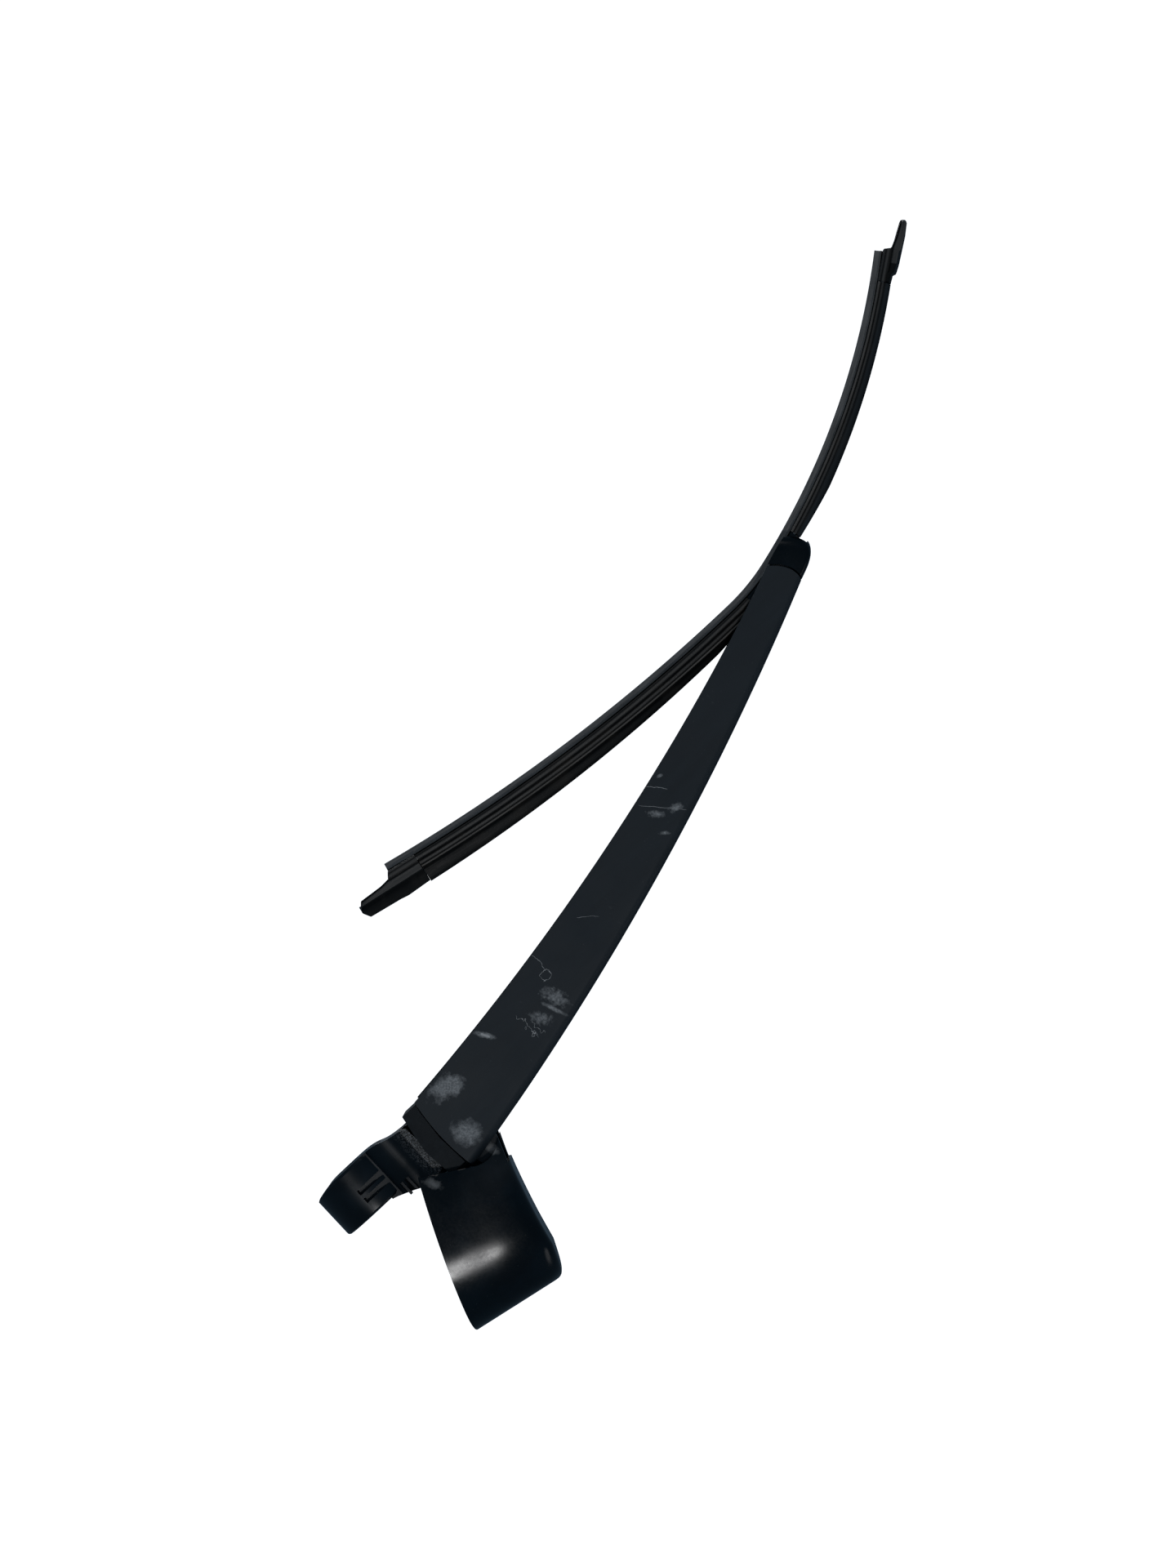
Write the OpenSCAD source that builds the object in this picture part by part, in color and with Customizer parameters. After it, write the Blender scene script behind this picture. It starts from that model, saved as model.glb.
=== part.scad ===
// Rear wiper arm with a flat beam blade, side-sprung knuckle and flip-up nut cap.
// X runs from the head to the arm tip, Z points away from the glass, and the origin is
// where the spindle axis meets the head's mounting face. Sizes are in millimetres.

/* [Head] */
// Radius of the round hub around the spindle
hub_r = 15; // [14:0.1:15.2]
// Height of the hub above its mounting face
hub_h = 15.5; // [14:0.5:17]
// Radius of the straight spindle bore
spindle_r = 4.15; // [4:0.05:5]
// Length of the straight spindle bore
spindle_len = 6; // [5:0.5:7]
// Radius of the tapered seat at the mounting face
seat_r = 5.6; // [5.4:0.1:6.5]
// Depth of the tapered seat
seat_len = 4; // [3:0.5:4.5]
// Depth of the rounded belly under the hub's lower rim
belly_d = 2.2; // [1.6:0.1:3]
// Radius of the well that the nut sits in
nut_well_r = 11.2; // [10:0.1:11.8]
// Height of the neck at its crest
neck_h = 20.4; // [19:0.1:21.5]
// Half width of the neck at its shoulder by the hinge
shoulder_hw = 12.2; // [11:0.1:12.3]
// Thickness of each hinge ear
ear_t = 3.6; // [3:0.1:3.8]
// Radius of each ear around the hinge pin
ear_r = 4.7; // [4.4:0.1:4.8]

/* [Hinge] */
// Distance from the spindle axis to the hinge pin
hinge_x = 39; // [38:0.5:41]
// Height of the hinge pin above the mounting face
hinge_z = 18; // [17:0.5:18.5]
// Radius of the hinge pin
pin_r = 2.5; // [2:0.1:2.6]
// Wall of the bushes in the ears
bush_t = 0.8; // [0.6:0.1:0.9]
// Running clearance on the hinge pin
run_gap = 0.05; // [0.02:0.01:0.08]
// Side clearance between parts that swing past each other
side_gap = 0.4; // [0.3:0.05:0.5]

/* [Arm] */
// Distance from the spindle axis to the arm's rear edge
arm_x = 33.6; // [33:0.1:34.5]
// Length of the arm shell along its curve
arm_len = 225; // [205:5:255]
// Radius of the arm's curve towards the glass
arm_bow_r = 1000; // [800:50:1600]
// Slope of the arm where it leaves the hinge, in degrees
arm_slope = 9.3; // [7:0.1:11]
// Depth of the arm at the hinge
arm_depth = 29.6; // [28:0.2:31]
// Depth of the arm at its tip
tip_depth = 12.8; // [12.4:0.1:14]
// Taper of the arm's depth along its length (1 is even)
arm_taper = 1.2; // [1:0.1:1.4]
// Half width of the arm at the hinge
arm_hw = 15.2; // [15:0.1:15.2]
// Half width of the arm at its tip
tip_hw = 8; // [7.8:0.1:9]
// Wall of the arm shell
arm_t = 1.8; // [1.6:0.1:2]
// Corner radius along the arm's back
arm_round = 3.4; // [2.6:0.1:4]
// Width of the collar band behind the arm
collar_w = 6; // [5:0.5:6.5]
// Seam between the arm and the pieces at its two ends
seam = 0.6; // [0.4:0.1:0.8]

/* [Cap] */
// Opening angle of the cap as drawn, in degrees
cap_open = 66.4; // [60:0.2:67]
// Distance from the hinge pin to the end of the cap
cap_len = 60; // [56:0.5:62]
// Inner half width of the cap
cap_in_hw = 15.6; // [15.6:0.1:16.5]
// Wall of the cap
cap_t = 1.8; // [1.5:0.1:2.2]
// Depth of the cap's side walls below the hinge pin
cap_low = 20.6; // [19:0.2:22]
// Height of the cap's back above the hinge pin by the arm
cap_high = 10.7; // [10.5:0.1:12]
// Extra height of the cap's back near its end
cap_crown = 4.4; // [3:0.1:5]
// Thickness of each cap lug
lug_t = 2.2; // [1.8:0.1:2.3]

/* [Spring] */
// Radius of the spring over its wire
spring_r = 5.2; // [4.6:0.1:5.2]
// Radius of the spring wire
wire_r = 0.85; // [0.7:0.05:0.9]
// Distance from the link's pin to the far spring pin
spring_reach = 90; // [84:1:96]
// Number of turns in the spring
spring_turns = 26; // [18:1:28]
// Radius of the pins that hold the link and the spring
hook_pin_r = 1.5; // [1.3:0.1:1.6]

/* [Blade] */
// Tilt of the blade at the connector as drawn, in degrees
blade_tilt = 15; // [13:0.5:16]
// Length of the blade outwards from the connector
blade_out_len = 117; // [100:1:125]
// Radius of the outer half of the blade
blade_out_r = 271; // [260:1:500]
// Length of the tighter stretch beside the connector
blade_mid_len = 20; // [18:1:30]
// Radius of the tighter stretch beside the connector
blade_mid_r = 80; // [76:1:200]
// Length of the inner stretch of the blade
blade_in_len = 150; // [110:1:155]
// Radius of the inner stretch of the blade
blade_in_r = 640; // [500:10:1000]
// Thickness of the spring rails
rail_t = 0.9; // [0.8:0.05:1]
// Width of each spring rail
rail_w = 3.1; // [2.8:0.1:3.2]
// Depth of the wiping lip below the rails
lip_depth = 3.7; // [3:0.1:4.5]
// Half width of the spoiler base
spoiler_hw = 5.2; // [5:0.1:5.3]
// Height of the outer spoiler above the rails
spoiler_out_h = 2.2; // [2:0.1:3]
// Height of the inner spoiler next to the connector
spoiler_in_h = 4.5; // [4:0.1:5]
// Height of the inner spoiler at its far end
spoiler_end_h = 7.8; // [6:0.1:8.2]
// Height of the blade pin above the rails
blade_pin_h = 5; // [4.8:0.1:5.2]
// Radius of the blade pin
blade_pin_r = 2; // [1.8:0.1:2.1]
// Distance of the blade pin behind the arm's tip seam
blade_pin_back = 0.6; // [0:0.1:2]

/* [Hidden] */
$fn = 48;

fit_gap = 0.13;            // assembly clearance around the rails and the rubber
corner_steps = 5;          // facets of each rounded edge
side_steps = 4;            // facets up each side wall
arm_steps = 30;            // stations along the arm
arm_tip_lean = 25;         // lean of the arm's end section, in degrees
seam_bow = 1.3;            // bulge of the arm's rear edge towards the head
tip_bow = 2.2;             // bulge of the arm's end seam towards the tip
relief = 0.1;              // step of the cap's side walls where they pass the arm
blade_pin_lift = 1.5;      // height of the blade pin above the arm's middle

// Head and hinge, seen from the side
ear_out = 9.2;             // outer face of each ear from the centre plane
ear_in = ear_out - ear_t;
bush_r = pin_r + run_gap + bush_t;
link_x = hinge_x - 5;      // pin that the spring link hooks on
link_z = hinge_z - 13;
mid_z = hinge_z * 0.65;    // height of the arm's middle at its rear edge
well_z = seat_len + spindle_len - belly_d;
waist_r = 9;               // radius of the scoop on each side of the neck
waist_x = 16;
waist_hw = 9.2;            // half width of the neck at its waist

// Cap hinge lugs stand between the ears and the arm walls
lug_in = ear_out + side_gap;
lug_out = lug_in + lug_t;
boss_in = lug_out + side_gap;
boss_r = 4.6;
pin_end = arm_hw - 0.8;    // the hinge pin stops blind in the arm's walls
slot_reach = 20;           // how far the lug slots run into the arm's back

// Arm line: an arc through the middle of the arm's side
function arm_frac(s) = s / arm_len;
function arm_angle(s) = -arm_slope - s / arm_bow_r * 180 / PI;
function arm_mid(s) = [
    arm_x + arm_bow_r * (sin(-arm_slope) - sin(arm_angle(s))),
    mid_z + arm_bow_r * (cos(arm_angle(s)) - cos(arm_slope))];
function arm_lean(s) = arm_tip_lean * arm_frac(s);
function arm_dir(s) = [sin(arm_lean(s)), cos(arm_lean(s))];
function arm_depth_at(s) = tip_depth + (arm_depth - tip_depth) * pow(1 - arm_frac(s), arm_taper);
function arm_back_at(s) = (arm_depth + (tip_depth - arm_depth) * arm_frac(s)) / 2;
function arm_hw_at(s) = arm_hw + (tip_hw - arm_hw) * pow(arm_frac(s), 0.85);

// Inverted U section: y across, z up from the open edge
function corner(cy, cz, r, a0, a1) =
    [for (i = [0 : corner_steps]) let (a = a0 + (a1 - a0) * i / corner_steps)
        [cy + r * cos(a), cz + r * sin(a)]];
function side_wall(y, z0, z1) = [for (i = [0 : side_steps - 1]) [y, z0 + (z1 - z0) * i / side_steps]];
function arch(hw, h, r) = concat(side_wall(-hw, 0, h - r),
    corner(-hw + r, h - r, r, 180, 90), corner(hw - r, h - r, r, 90, 0),
    [for (i = [side_steps - 1 : -1 : 0]) [hw, (h - r) * i / side_steps]]);

arch_last = 2 * (side_steps + corner_steps) + 1;

// Sections are placed at a point of the side view, leaning along a direction
function place_ring(pts, base, dir) =
    [for (p = pts) [base[0] + dir[0] * p[1], p[0], base[1] + dir[1] * p[1]]];
function bulge_ring(pts, base, dir, h, bow) =
    [for (p = pts) [base[0] + dir[0] * p[1] + bow * (1 - pow(2 * p[1] / h - 1, 2)),
                    p[0], base[1] + dir[1] * p[1]]];

function side_faces(rings, m) = [for (i = [0 : rings - 2]) for (j = [0 : m - 1]) let (
        a = i * m + j, b = i * m + (j + 1) % m, c = a + m, d = b + m)
    each [[a, b, d], [a, d, c]]];
function fan(first, m, flip) = [for (j = [1 : m - 2])
    flip ? [first, first + j + 1, first + j] : [first, first + j, first + j + 1]];
function strip(first, m, flip) = [for (k = [0 : m / 2 - 2]) let (
        a = first + k, b = a + 1, d = first + m - 1 - k, c = d - 1)
    each (flip ? [[a, b, c], [a, c, d]] : [[a, c, b], [a, d, c]])];

// Solid through a row of closed sections; the ends are fans, or strips from side to side of an arch
module skin(rings, arch_ends = false) {
    n = len(rings);
    m = len(rings[0]);
    last = (n - 1) * m;
    ends = arch_ends ? concat(strip(0, m, false), strip(last, m, true))
                  : concat(fan(0, m, true), fan(last, m, false));
    polyhedron(points = [for (r = rings) each r], faces = concat(side_faces(n, m), ends));
}

// Round wire along a path: a ring at each point, turned as little as possible from the last
function unit(v) = v / norm(v);
function tangent(p, i) = unit(p[min(i + 1, len(p) - 1)] - p[max(i - 1, 0)]);
function upright(v, t) = unit(v - (v * t) * t);
function wire_normals(p, start) = [for (i = 0, v = upright(start, tangent(p, 0)); i < len(p);
    i = i + 1, v = i < len(p) ? upright(v, tangent(p, i)) : v) v];
module wire(path, r, sides, start) {
    ups = wire_normals(path, start);
    skin([for (i = [0 : len(path) - 1]) let (t = tangent(path, i), u = ups[i], w = cross(t, u))
        [for (j = [0 : sides - 1]) let (a = -360 * j / sides)
            path[i] + r * (cos(a) * u + sin(a) * w)]]);
}

// Side-view outline extruded across the part, and a round bar across it
module across(from, to) {
    translate([0, to, 0]) rotate([90, 0, 0]) linear_extrude(to - from) children();
}
module both(from, to) {
    across(from, to) children();
    across(-to, -from) children();
}
module bar(x, z, r, from, to) {
    across(from, to) translate([x, z]) circle(r);
}

// ---- head

module ear_outline() {
    translate([hinge_x, hinge_z]) circle(ear_r);
    translate([link_x, link_z]) circle(ear_r);
    polygon([[hinge_x - ear_r, hinge_z], [hinge_x + ear_r, hinge_z],
             [link_x + ear_r, link_z], [link_x, link_z - ear_r],
             [waist_x, 0], [waist_x, 11], [hinge_x - 11, 10]]);
}

// The belly is the rounded underside; its flat holds the seat for the spindle
function belly() = [[-hub_r, 0], [-10, -0.7 * belly_d], [-6.4, -belly_d], [8, -belly_d],
    [13, -0.7 * belly_d], [18, 0], [hinge_x - 14.5, 0.8]];
module neck_outline() {
    polygon(concat(belly(), [[hinge_x - 14.5, 15.5], [hinge_x - 16.5, 18.6],
             [hub_r + 4, neck_h], [hub_r, neck_h], [-2, hub_h], [-hub_r, hub_h]]));
}

module latch_pocket(side) {
    pocket_x = 3.7;
    pocket_z = 8.4;
    difference() {
        translate([pocket_x, side * hub_r, pocket_z]) cube([10.4, 6.4, 5.4], center = true);
        translate([pocket_x - 0.6, side * hub_r, pocket_z]) cube([9, 6.4, 1.4], center = true);
    }
}

module neck_ribs(side) {
    for (x = [11.4, 14])
        translate([x - 0.45, side * (waist_hw - 0.4) - 1.5, 14]) cube([0.9, 3, 5.2]);
}

module head() {
    color("#17181b") difference() {
        union() {
            intersection() {
                translate([0, 0, -belly_d]) cylinder(r = hub_r, h = belly_d + hub_h);
                across(-hub_r, hub_r) polygon(concat(belly(), [[hub_r + 10, hub_h], [-hub_r, hub_h]]));
            }
            difference() {
                across(-shoulder_hw, shoulder_hw) neck_outline();
                for (side = [-1, 1])
                    translate([waist_x, side * (waist_hw + waist_r), -1]) cylinder(r = waist_r, h = 30);
                cylinder(r = hub_r - 2, h = 60, center = true);
                translate([-3 * hub_r, -hub_r, -hub_r]) cube([3 * hub_r, 2 * hub_r, 3 * hub_r]);
            }
            both(ear_in, ear_out) ear_outline();
            across(-ear_out, ear_out) polygon([[waist_x, 0], [hinge_x - 12.5, 0],
                [hinge_x - 12.5, 10], [waist_x, 11]]);
            for (side = [-1, 1]) neck_ribs(side);
        }
        translate([0, 0, -belly_d - 1]) cylinder(r = spindle_r, h = well_z + belly_d + 2);
        translate([0, 0, -belly_d]) cylinder(r1 = seat_r, r2 = spindle_r, h = seat_len);
        translate([0, 0, well_z]) cylinder(r = nut_well_r, h = 30);
        bar(hinge_x, hinge_z, bush_r, -20, 20);
        bar(link_x, link_z, hook_pin_r, -20, 20);
        for (side = [-1, 1]) latch_pocket(side);
    }
}

// ---- hinge

module hinge_bush(side) {
    from = side > 0 ? ear_in : -ear_out;
    color("#3a3c40") difference() {
        union() {
            bar(hinge_x, hinge_z, bush_r, from, from + ear_t);
            bar(hinge_x, hinge_z, bush_r + 1, side > 0 ? ear_in - 0.8 : -ear_in,
                side > 0 ? ear_in : 0.8 - ear_in);
        }
        bar(hinge_x, hinge_z, pin_r + run_gap, -20, 20);
    }
}

module hinge_pin() {
    color("#8d9299") bar(hinge_x, hinge_z, pin_r, -pin_end, pin_end);
}

module link_pin() {
    color("#8d9299") bar(link_x, link_z, hook_pin_r, -ear_out, ear_out);
}

// ---- arm

function arm_ring(s) = let (
        h = arm_depth_at(s), hw = arm_hw_at(s), f = arm_frac(s),
        r = arm_round * (1 - 0.25 * f),
        dir = arm_dir(s), base = arm_mid(s) + dir * (arm_back_at(s) - h),
        bow = -seam_bow * max(0, 1 - 6 * f) + tip_bow * max(0, 6 * f - 5),
        inner = arch(hw - arm_t, h - arm_t, max(r - arm_t, 0.6)),
        ring = concat(arch(hw, h, r), [for (i = [len(inner) - 1 : -1 : 0]) inner[i]]))
    bulge_ring(ring, base, dir, h, bow);

// Recessed tongue that carries the arm's back over the hinge, under the cap's edge
module arm_tongue() {
    back_z = hinge_z + 7.6;
    difference() {
        across(-lug_in + side_gap / 2, lug_in - side_gap / 2) polygon([
            [hinge_x - 11.2, back_z - 0.6], [hinge_x - 11.2, back_z - 2.2],
            [hinge_x + 6, back_z - 5.8], [hinge_x + 6, back_z - 2]]);
        bar(hinge_x, hinge_z, ear_r + side_gap, -lug_in, lug_in);
    }
}

module arm_shell() {
    tip = arm_mid(arm_len);
    color("#2b2e33") difference() {
        union() {
            skin([for (i = [0 : arm_steps]) arm_ring(arm_len * i / arm_steps)], true);
            both(boss_in, arm_hw - 1) translate([hinge_x, hinge_z]) circle(boss_r);
            arm_tongue();
            for (side = [-1, 1]) spring_boss(side);
        }
        bar(hinge_x, hinge_z, pin_r, -pin_end, pin_end);
        bar(spring_x, spring_z, hook_pin_r, -spring_pin_end, spring_pin_end);
        both(lug_in - side_gap / 2, lug_out + side_gap)
            intersection() {
                translate([hinge_x, hinge_z]) circle(slot_reach);
                translate([0, hinge_z + 2]) square([80, 40]);
            }
    }
}

// Where the far spring pin sits in the arm
spring_x = link_x + spring_reach * cos(5.7);
spring_z = link_z - spring_reach * sin(5.7);
spring_s = spring_x - arm_x;
spring_pin_end = arm_hw_at(spring_s) - 0.8;
module spring_boss(side) {
    from = arm_hw_at(spring_s) - 3.4;
    to = arm_hw_at(spring_s) - 1;
    bar(spring_x, spring_z, 3.4, side > 0 ? from : -to, side > 0 ? to : -from);
}

module spring_pin() {
    color("#8d9299") bar(spring_x, spring_z, hook_pin_r, -spring_pin_end, spring_pin_end);
}

module hinge_collar() {
    hw = arm_hw - 0.4;
    low = mid_z - arm_depth / 2 + 0.8;
    high = hinge_z + 5.4;
    front = arm_x - seam_bow - seam;
    cheek = hw - lug_out - side_gap;
    color("#3c4045") {
        difference() {
            union() {
                both(hw - cheek, hw) polygon([[front - collar_w + 1.4, low], [front + 1.2, low],
                    [front, mid_z], [front + 0.8, high], [front - collar_w + 0.4, high],
                    [front - collar_w - 0.9, mid_z]]);
                across(-hw, hw) polygon([[front - collar_w + 1.4, low], [front + 1.2, low],
                    [front + 1, low + 1.5], [front - collar_w + 1.2, low + 1.5]]);
                both(arm_hw - arm_t - 1.3, arm_hw - arm_t - 0.25) polygon([
                    [front - 1, low + 2], [front + 5, low + 2], [front + 5, hinge_z - 8],
                    [front - 1, hinge_z - 7]]);
            }
            bar(hinge_x, hinge_z, boss_r + 0.6, -20, 20);
        }
    }
}

// Glossy hood that closes the arm's tip and straddles the blade
module tip_cap() {
    nose = 12.4;
    wall = 1.5;
    lean = arm_dir(arm_len);
    run = [cos(arm_angle(arm_len)), sin(arm_angle(arm_len))];
    start = arm_mid(arm_len) + run * seam;
    function nose_ring(f, off, len) = let (
            h = tip_depth * (1 - 0.3 * pow(f, 3)) - off,
            hw = tip_hw * pow(max(1 - pow(f, 2.6), 0.02), 0.5) - off,
            base = start + run * (len * f) - lean * tip_depth * (0.5 - 0.1 * pow(f, 2)))
        bulge_ring(arch(max(hw, 0.5), max(h, 1), min(2.4, max(hw, 0.5) * 0.7)),
            base, lean, max(h, 1), tip_bow * (1 - 0.3 * f));
    color("#101114") difference() {
        skin([for (i = [0 : 9]) nose_ring(sin(i * 9.6), 0, nose)], true);
        skin([for (i = [-1 : 8]) nose_ring(i < 0 ? 0 : sin(i * 9.6), wall, nose - wall) +
            [for (k = [0 : arch_last])
                [i < 0 ? -4 : 0, 0, (k == 0 || k == arch_last) ? -8 : 0]]], true);
        translate([blade_at[0], 0, blade_at[1]]) rotate([0, -arm_angle(pin_s), 0])
            across(-spoiler_hw - 0.8, spoiler_hw + 0.8) polygon([[-20, -14], [-20, -2.6], [0, -2.6],
                [14, 1.2], [24, 3.8], [24, -14]]);
    }
}

// ---- blade connector

pin_s = arm_len - blade_pin_back;
blade_at = arm_mid(pin_s) + arm_dir(pin_s) * blade_pin_lift;

module on_blade() {
    translate([blade_at[0], 0, blade_at[1]]) rotate([0, blade_tilt, 0])
        translate([0, 0, -blade_pin_h]) children();
}

module blade_pin() {
    color("#8d9299") on_blade() bar(0, blade_pin_h, blade_pin_r, -carrier_hw, carrier_hw);
}

adapter_r = 2.7;
adapter_hw = 3.9;
module blade_adapter() {
    color("#26282c") translate([blade_at[0], 0, blade_at[1]])
        rotate([0, -arm_angle(pin_s), 0]) difference() {
            union() {
                bar(0, 0, adapter_r, -adapter_hw, adapter_hw);
                across(-adapter_hw, adapter_hw) polygon([[-16, -1.5], [0, -adapter_r], [adapter_r, -1],
                    [adapter_r, adapter_r - 0.2], [-16, adapter_r - 0.1]]);
                across(-(tip_hw - arm_t - fit_gap), tip_hw - arm_t - fit_gap)
                    polygon([[-16, -0.6], [-10, -0.6], [-10, adapter_r - 0.1], [-16, adapter_r - 0.1]]);
            }
            bar(0, 0, blade_pin_r + run_gap, -20, 20);
        }
}

// ---- blade line: three arcs with one tangent where they meet

mid_turn = blade_mid_len / blade_mid_r * 180 / PI;
in_centre = [0, -blade_mid_r] + (blade_mid_r - blade_in_r) * [-sin(mid_turn), cos(mid_turn)];
inner_total = blade_mid_len + blade_in_len;

// Turn of the blade, and a point a given height above the rails' top face, at a distance s from
// the connector: negative towards the outer end, positive towards the inner end
function blade_turn(s) = 180 / PI * (s < 0 ? s / blade_out_r : s < blade_mid_len ? s / blade_mid_r
    : blade_mid_len / blade_mid_r + (s - blade_mid_len) / blade_in_r);
function blade_point(s, up) = let (a = blade_turn(s),
        r = s < 0 ? blade_out_r : s < blade_mid_len ? blade_mid_r : blade_in_r)
    (s < blade_mid_len ? [0, -r] : in_centre) + (r + up) * [-sin(a), cos(a)];

// Stations between two distances, from the inner one outwards
blade_grid = concat([for (i = [24 : -1 : 1]) blade_mid_len + i * 8],
    [for (i = [8 : -1 : 0]) i * blade_mid_len / 8], [for (i = [1 : 24]) -i * 6]);
function stations(from, to) = concat([to], [for (s = blade_grid) if (s < to - 1 && s > from + 1) s], [from]);

// A section is a list of [height above the rails' top face, place across]
module blade_skin(from, to, arch_ends = true) {
    skin([for (s = stations(from, to)) [for (p = $section(s)) let (q = blade_point(s, p[0]))
        [q[0], p[1], q[1]]]], arch_ends);
}

rail_in = 1.25;
rail_out = rail_in + rail_w;
web_hw = rail_in - 0.05;
head_hw = 3.2;
head_h = 0.8;
foot_hw = rail_out - 0.9;
claw_low = -rail_t - 0.85;
carrier_hw = 5.8;
slope = 0.03;              // faces that lie along the rails slope by this much

function other_half(p) = [for (i = [len(p) - 1 : -1 : 0]) [p[i][0], -p[i][1]]];
function turned(p) = [for (i = [len(p) - 1 : -1 : 0]) p[i]];

rubber_half = [[-lip_depth - rail_t, -0.32], [-lip_depth + 0.9, -0.5], [-lip_depth + 1.2, -1.7],
    [-lip_depth + 1.5, -1.7], [-rail_t - 1, -0.75], [-rail_t - 0.65, -0.75],
    [-rail_t - 0.65 + slope, -foot_hw], [-rail_t - 0.05 - slope, -foot_hw], [-rail_t - 0.05, -web_hw],
    [slope, -web_hw], [2 * slope, -head_hw], [head_h, -head_hw + 0.3]];

module wiper_rubber() {
    color("#404347") on_blade() blade_skin(-blade_out_len, inner_total,
        $section = function (s) concat(rubber_half, other_half(rubber_half)));
}

module rail(side) {
    near = side * (side > 0 ? rail_in : rail_out);
    far = side * (side > 0 ? rail_out : rail_in);
    color("#50545a") on_blade() blade_skin(-blade_out_len, inner_total,
        $section = function (s) [[-rail_t, near], [0, near], [0, far], [-rail_t, far]]);
}

// What is clipped over the rails is an arch with inturned claws: outside, then inside and back
function claw_side(h, cover) = [[claw_low, -spoiler_hw + 0.3], [claw_low + 0.4, -spoiler_hw],
    [0.5, -spoiler_hw], [1.1, -spoiler_hw + 0.5], [cover, -3.2], [h * 0.45 + cover / 2, -1.7], [h, -0.65]];
inside_half = [[claw_low, -foot_hw - 0.15], [-rail_t - fit_gap, -foot_hw - 0.15],
    [-rail_t - fit_gap, -rail_out - fit_gap], [fit_gap, -rail_out - fit_gap],
    [fit_gap, -head_hw - 0.2], [head_h + 0.25, -head_hw - 0.2], [head_h + 0.25, -0.65]];
function clip_ring(h, cover) = let (half = claw_side(h, cover))
    concat(half, other_half(half), turned(other_half(inside_half)), turned(inside_half));

connector_len = 14;        // half length of the stretch that the carrier takes
cap_grip = 11;             // length of blade that each end cap covers

module blade_carrier() {
    half = connector_len - 0.4;
    color("#1d1f23") on_blade() difference() {
        union() {
            blade_skin(-half, half, $section = function (s) clip_ring(2.1, 1.9));
            both(4.3, carrier_hw) {
                translate([0, blade_pin_h]) circle(3.1);
                polygon([[-8.5, 0.6], [8.5, 0.6], [2.8, blade_pin_h + 1.3], [-2.8, blade_pin_h + 1.3]]);
            }
        }
        bar(0, blade_pin_h, blade_pin_r, -20, 20);
    }
}

function fin_height(s) = spoiler_in_h + (spoiler_end_h - spoiler_in_h)
    * pow((s - connector_len) / (inner_total - connector_len), 0.8);

module spoiler_outer() {
    color("#2e3135") on_blade() blade_skin(-blade_out_len + cap_grip, -connector_len,
        $section = function (s) clip_ring(spoiler_out_h, 1.7));
}

module spoiler_inner() {
    color("#2e3135") on_blade() blade_skin(connector_len, inner_total - cap_grip,
        $section = function (s) clip_ring(fin_height(s), 2.2));
}

// End caps: a roof-shaped nose over the last stretch of the spoiler and the rails
module end_cap_body(len, past, high, low_h, tip_h, rise, hw) {
    top = max(high, tip_h + rise);
    intersection() {
        across(-hw, hw) polygon([[0, claw_low - 0.4], [len, claw_low - 0.4],
            [len + past * 0.8, rise - 1.2], [len + past, rise + 0.2],
            [len + past, rise + tip_h * 0.7], [len + past * 0.9, rise + tip_h], [0, high]]);
        translate([0, 0, -10]) linear_extrude(30) polygon([[0, -hw], [len + past * 0.3, -hw],
            [len + past, -hw * 0.45], [len + past, hw * 0.45], [len + past * 0.3, hw], [0, hw]]);
        rotate([90, 0, 90]) linear_extrude(len + past) polygon([[-hw, -5], [-hw, low_h],
            [-1.4, top], [1.4, top], [hw, low_h], [hw, -5]]);
    }
}

// The space that the rails and the rubber take inside an end cap, swept along its arc
module rail_space(centre, r, from, to) {
    translate([centre[0], 0, centre[1]]) rotate([90, 0, 0]) rotate([0, 0, 90 + from])
        rotate_extrude(angle = to - from, $fn = 180) translate([r, 0]) polygon([
            [-8, -foot_hw - 0.15], [-rail_t - fit_gap, -foot_hw - 0.15],
            [-rail_t - fit_gap, -rail_out - fit_gap], [fit_gap, -rail_out - fit_gap],
            [fit_gap, -head_hw - 0.2], [1.5, -head_hw - 0.2], [1.5, head_hw + 0.2],
            [fit_gap, head_hw + 0.2], [fit_gap, rail_out + fit_gap],
            [-rail_t - fit_gap, rail_out + fit_gap], [-rail_t - fit_gap, foot_hw + 0.15],
            [-8, foot_hw + 0.15]]);
}

module end_cap_outer() {
    s = -blade_out_len + cap_grip - 0.3;
    at = blade_point(s, 0);
    color("#3a3d41") on_blade() difference() {
        translate([at[0], 0, at[1]]) rotate([0, -blade_turn(s) + 1, 0])
            end_cap_body(cap_grip, 12, 3.3, 2.4, 2, 2.8, carrier_hw);
        rail_space([0, -blade_out_r], blade_out_r, blade_turn(-blade_out_len - 0.2), blade_turn(-blade_out_len + 2 * cap_grip));
    }
}

module end_cap_inner() {
    s = inner_total - cap_grip + 0.3;
    at = blade_point(s, 0);
    color("#3a3d41") on_blade() difference() {
        translate([at[0], 0, at[1]]) rotate([0, -blade_turn(s) - 1, 0]) mirror([1, 0, 0])
            end_cap_body(cap_grip, 15, 8.4, 3.4, 2.6, 2.6, carrier_hw);
        rail_space(in_centre, blade_in_r, blade_turn(inner_total - 2 * cap_grip), blade_turn(inner_total + 0.2));
    }
}

// ---- cap, drawn closed around the hinge pin and then opened

cap_nose = cap_len - hinge_x;      // from the spindle axis to the end of the cap
cap_hw = cap_in_hw + cap_t;
cap_bow = 2;                       // bow of the cap's open edge
cap_ear_r = 10.2;                  // radius of the cap's near corner around the hinge pin
cap_slant = 0.23;                  // the end wall leans out towards the glass

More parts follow.
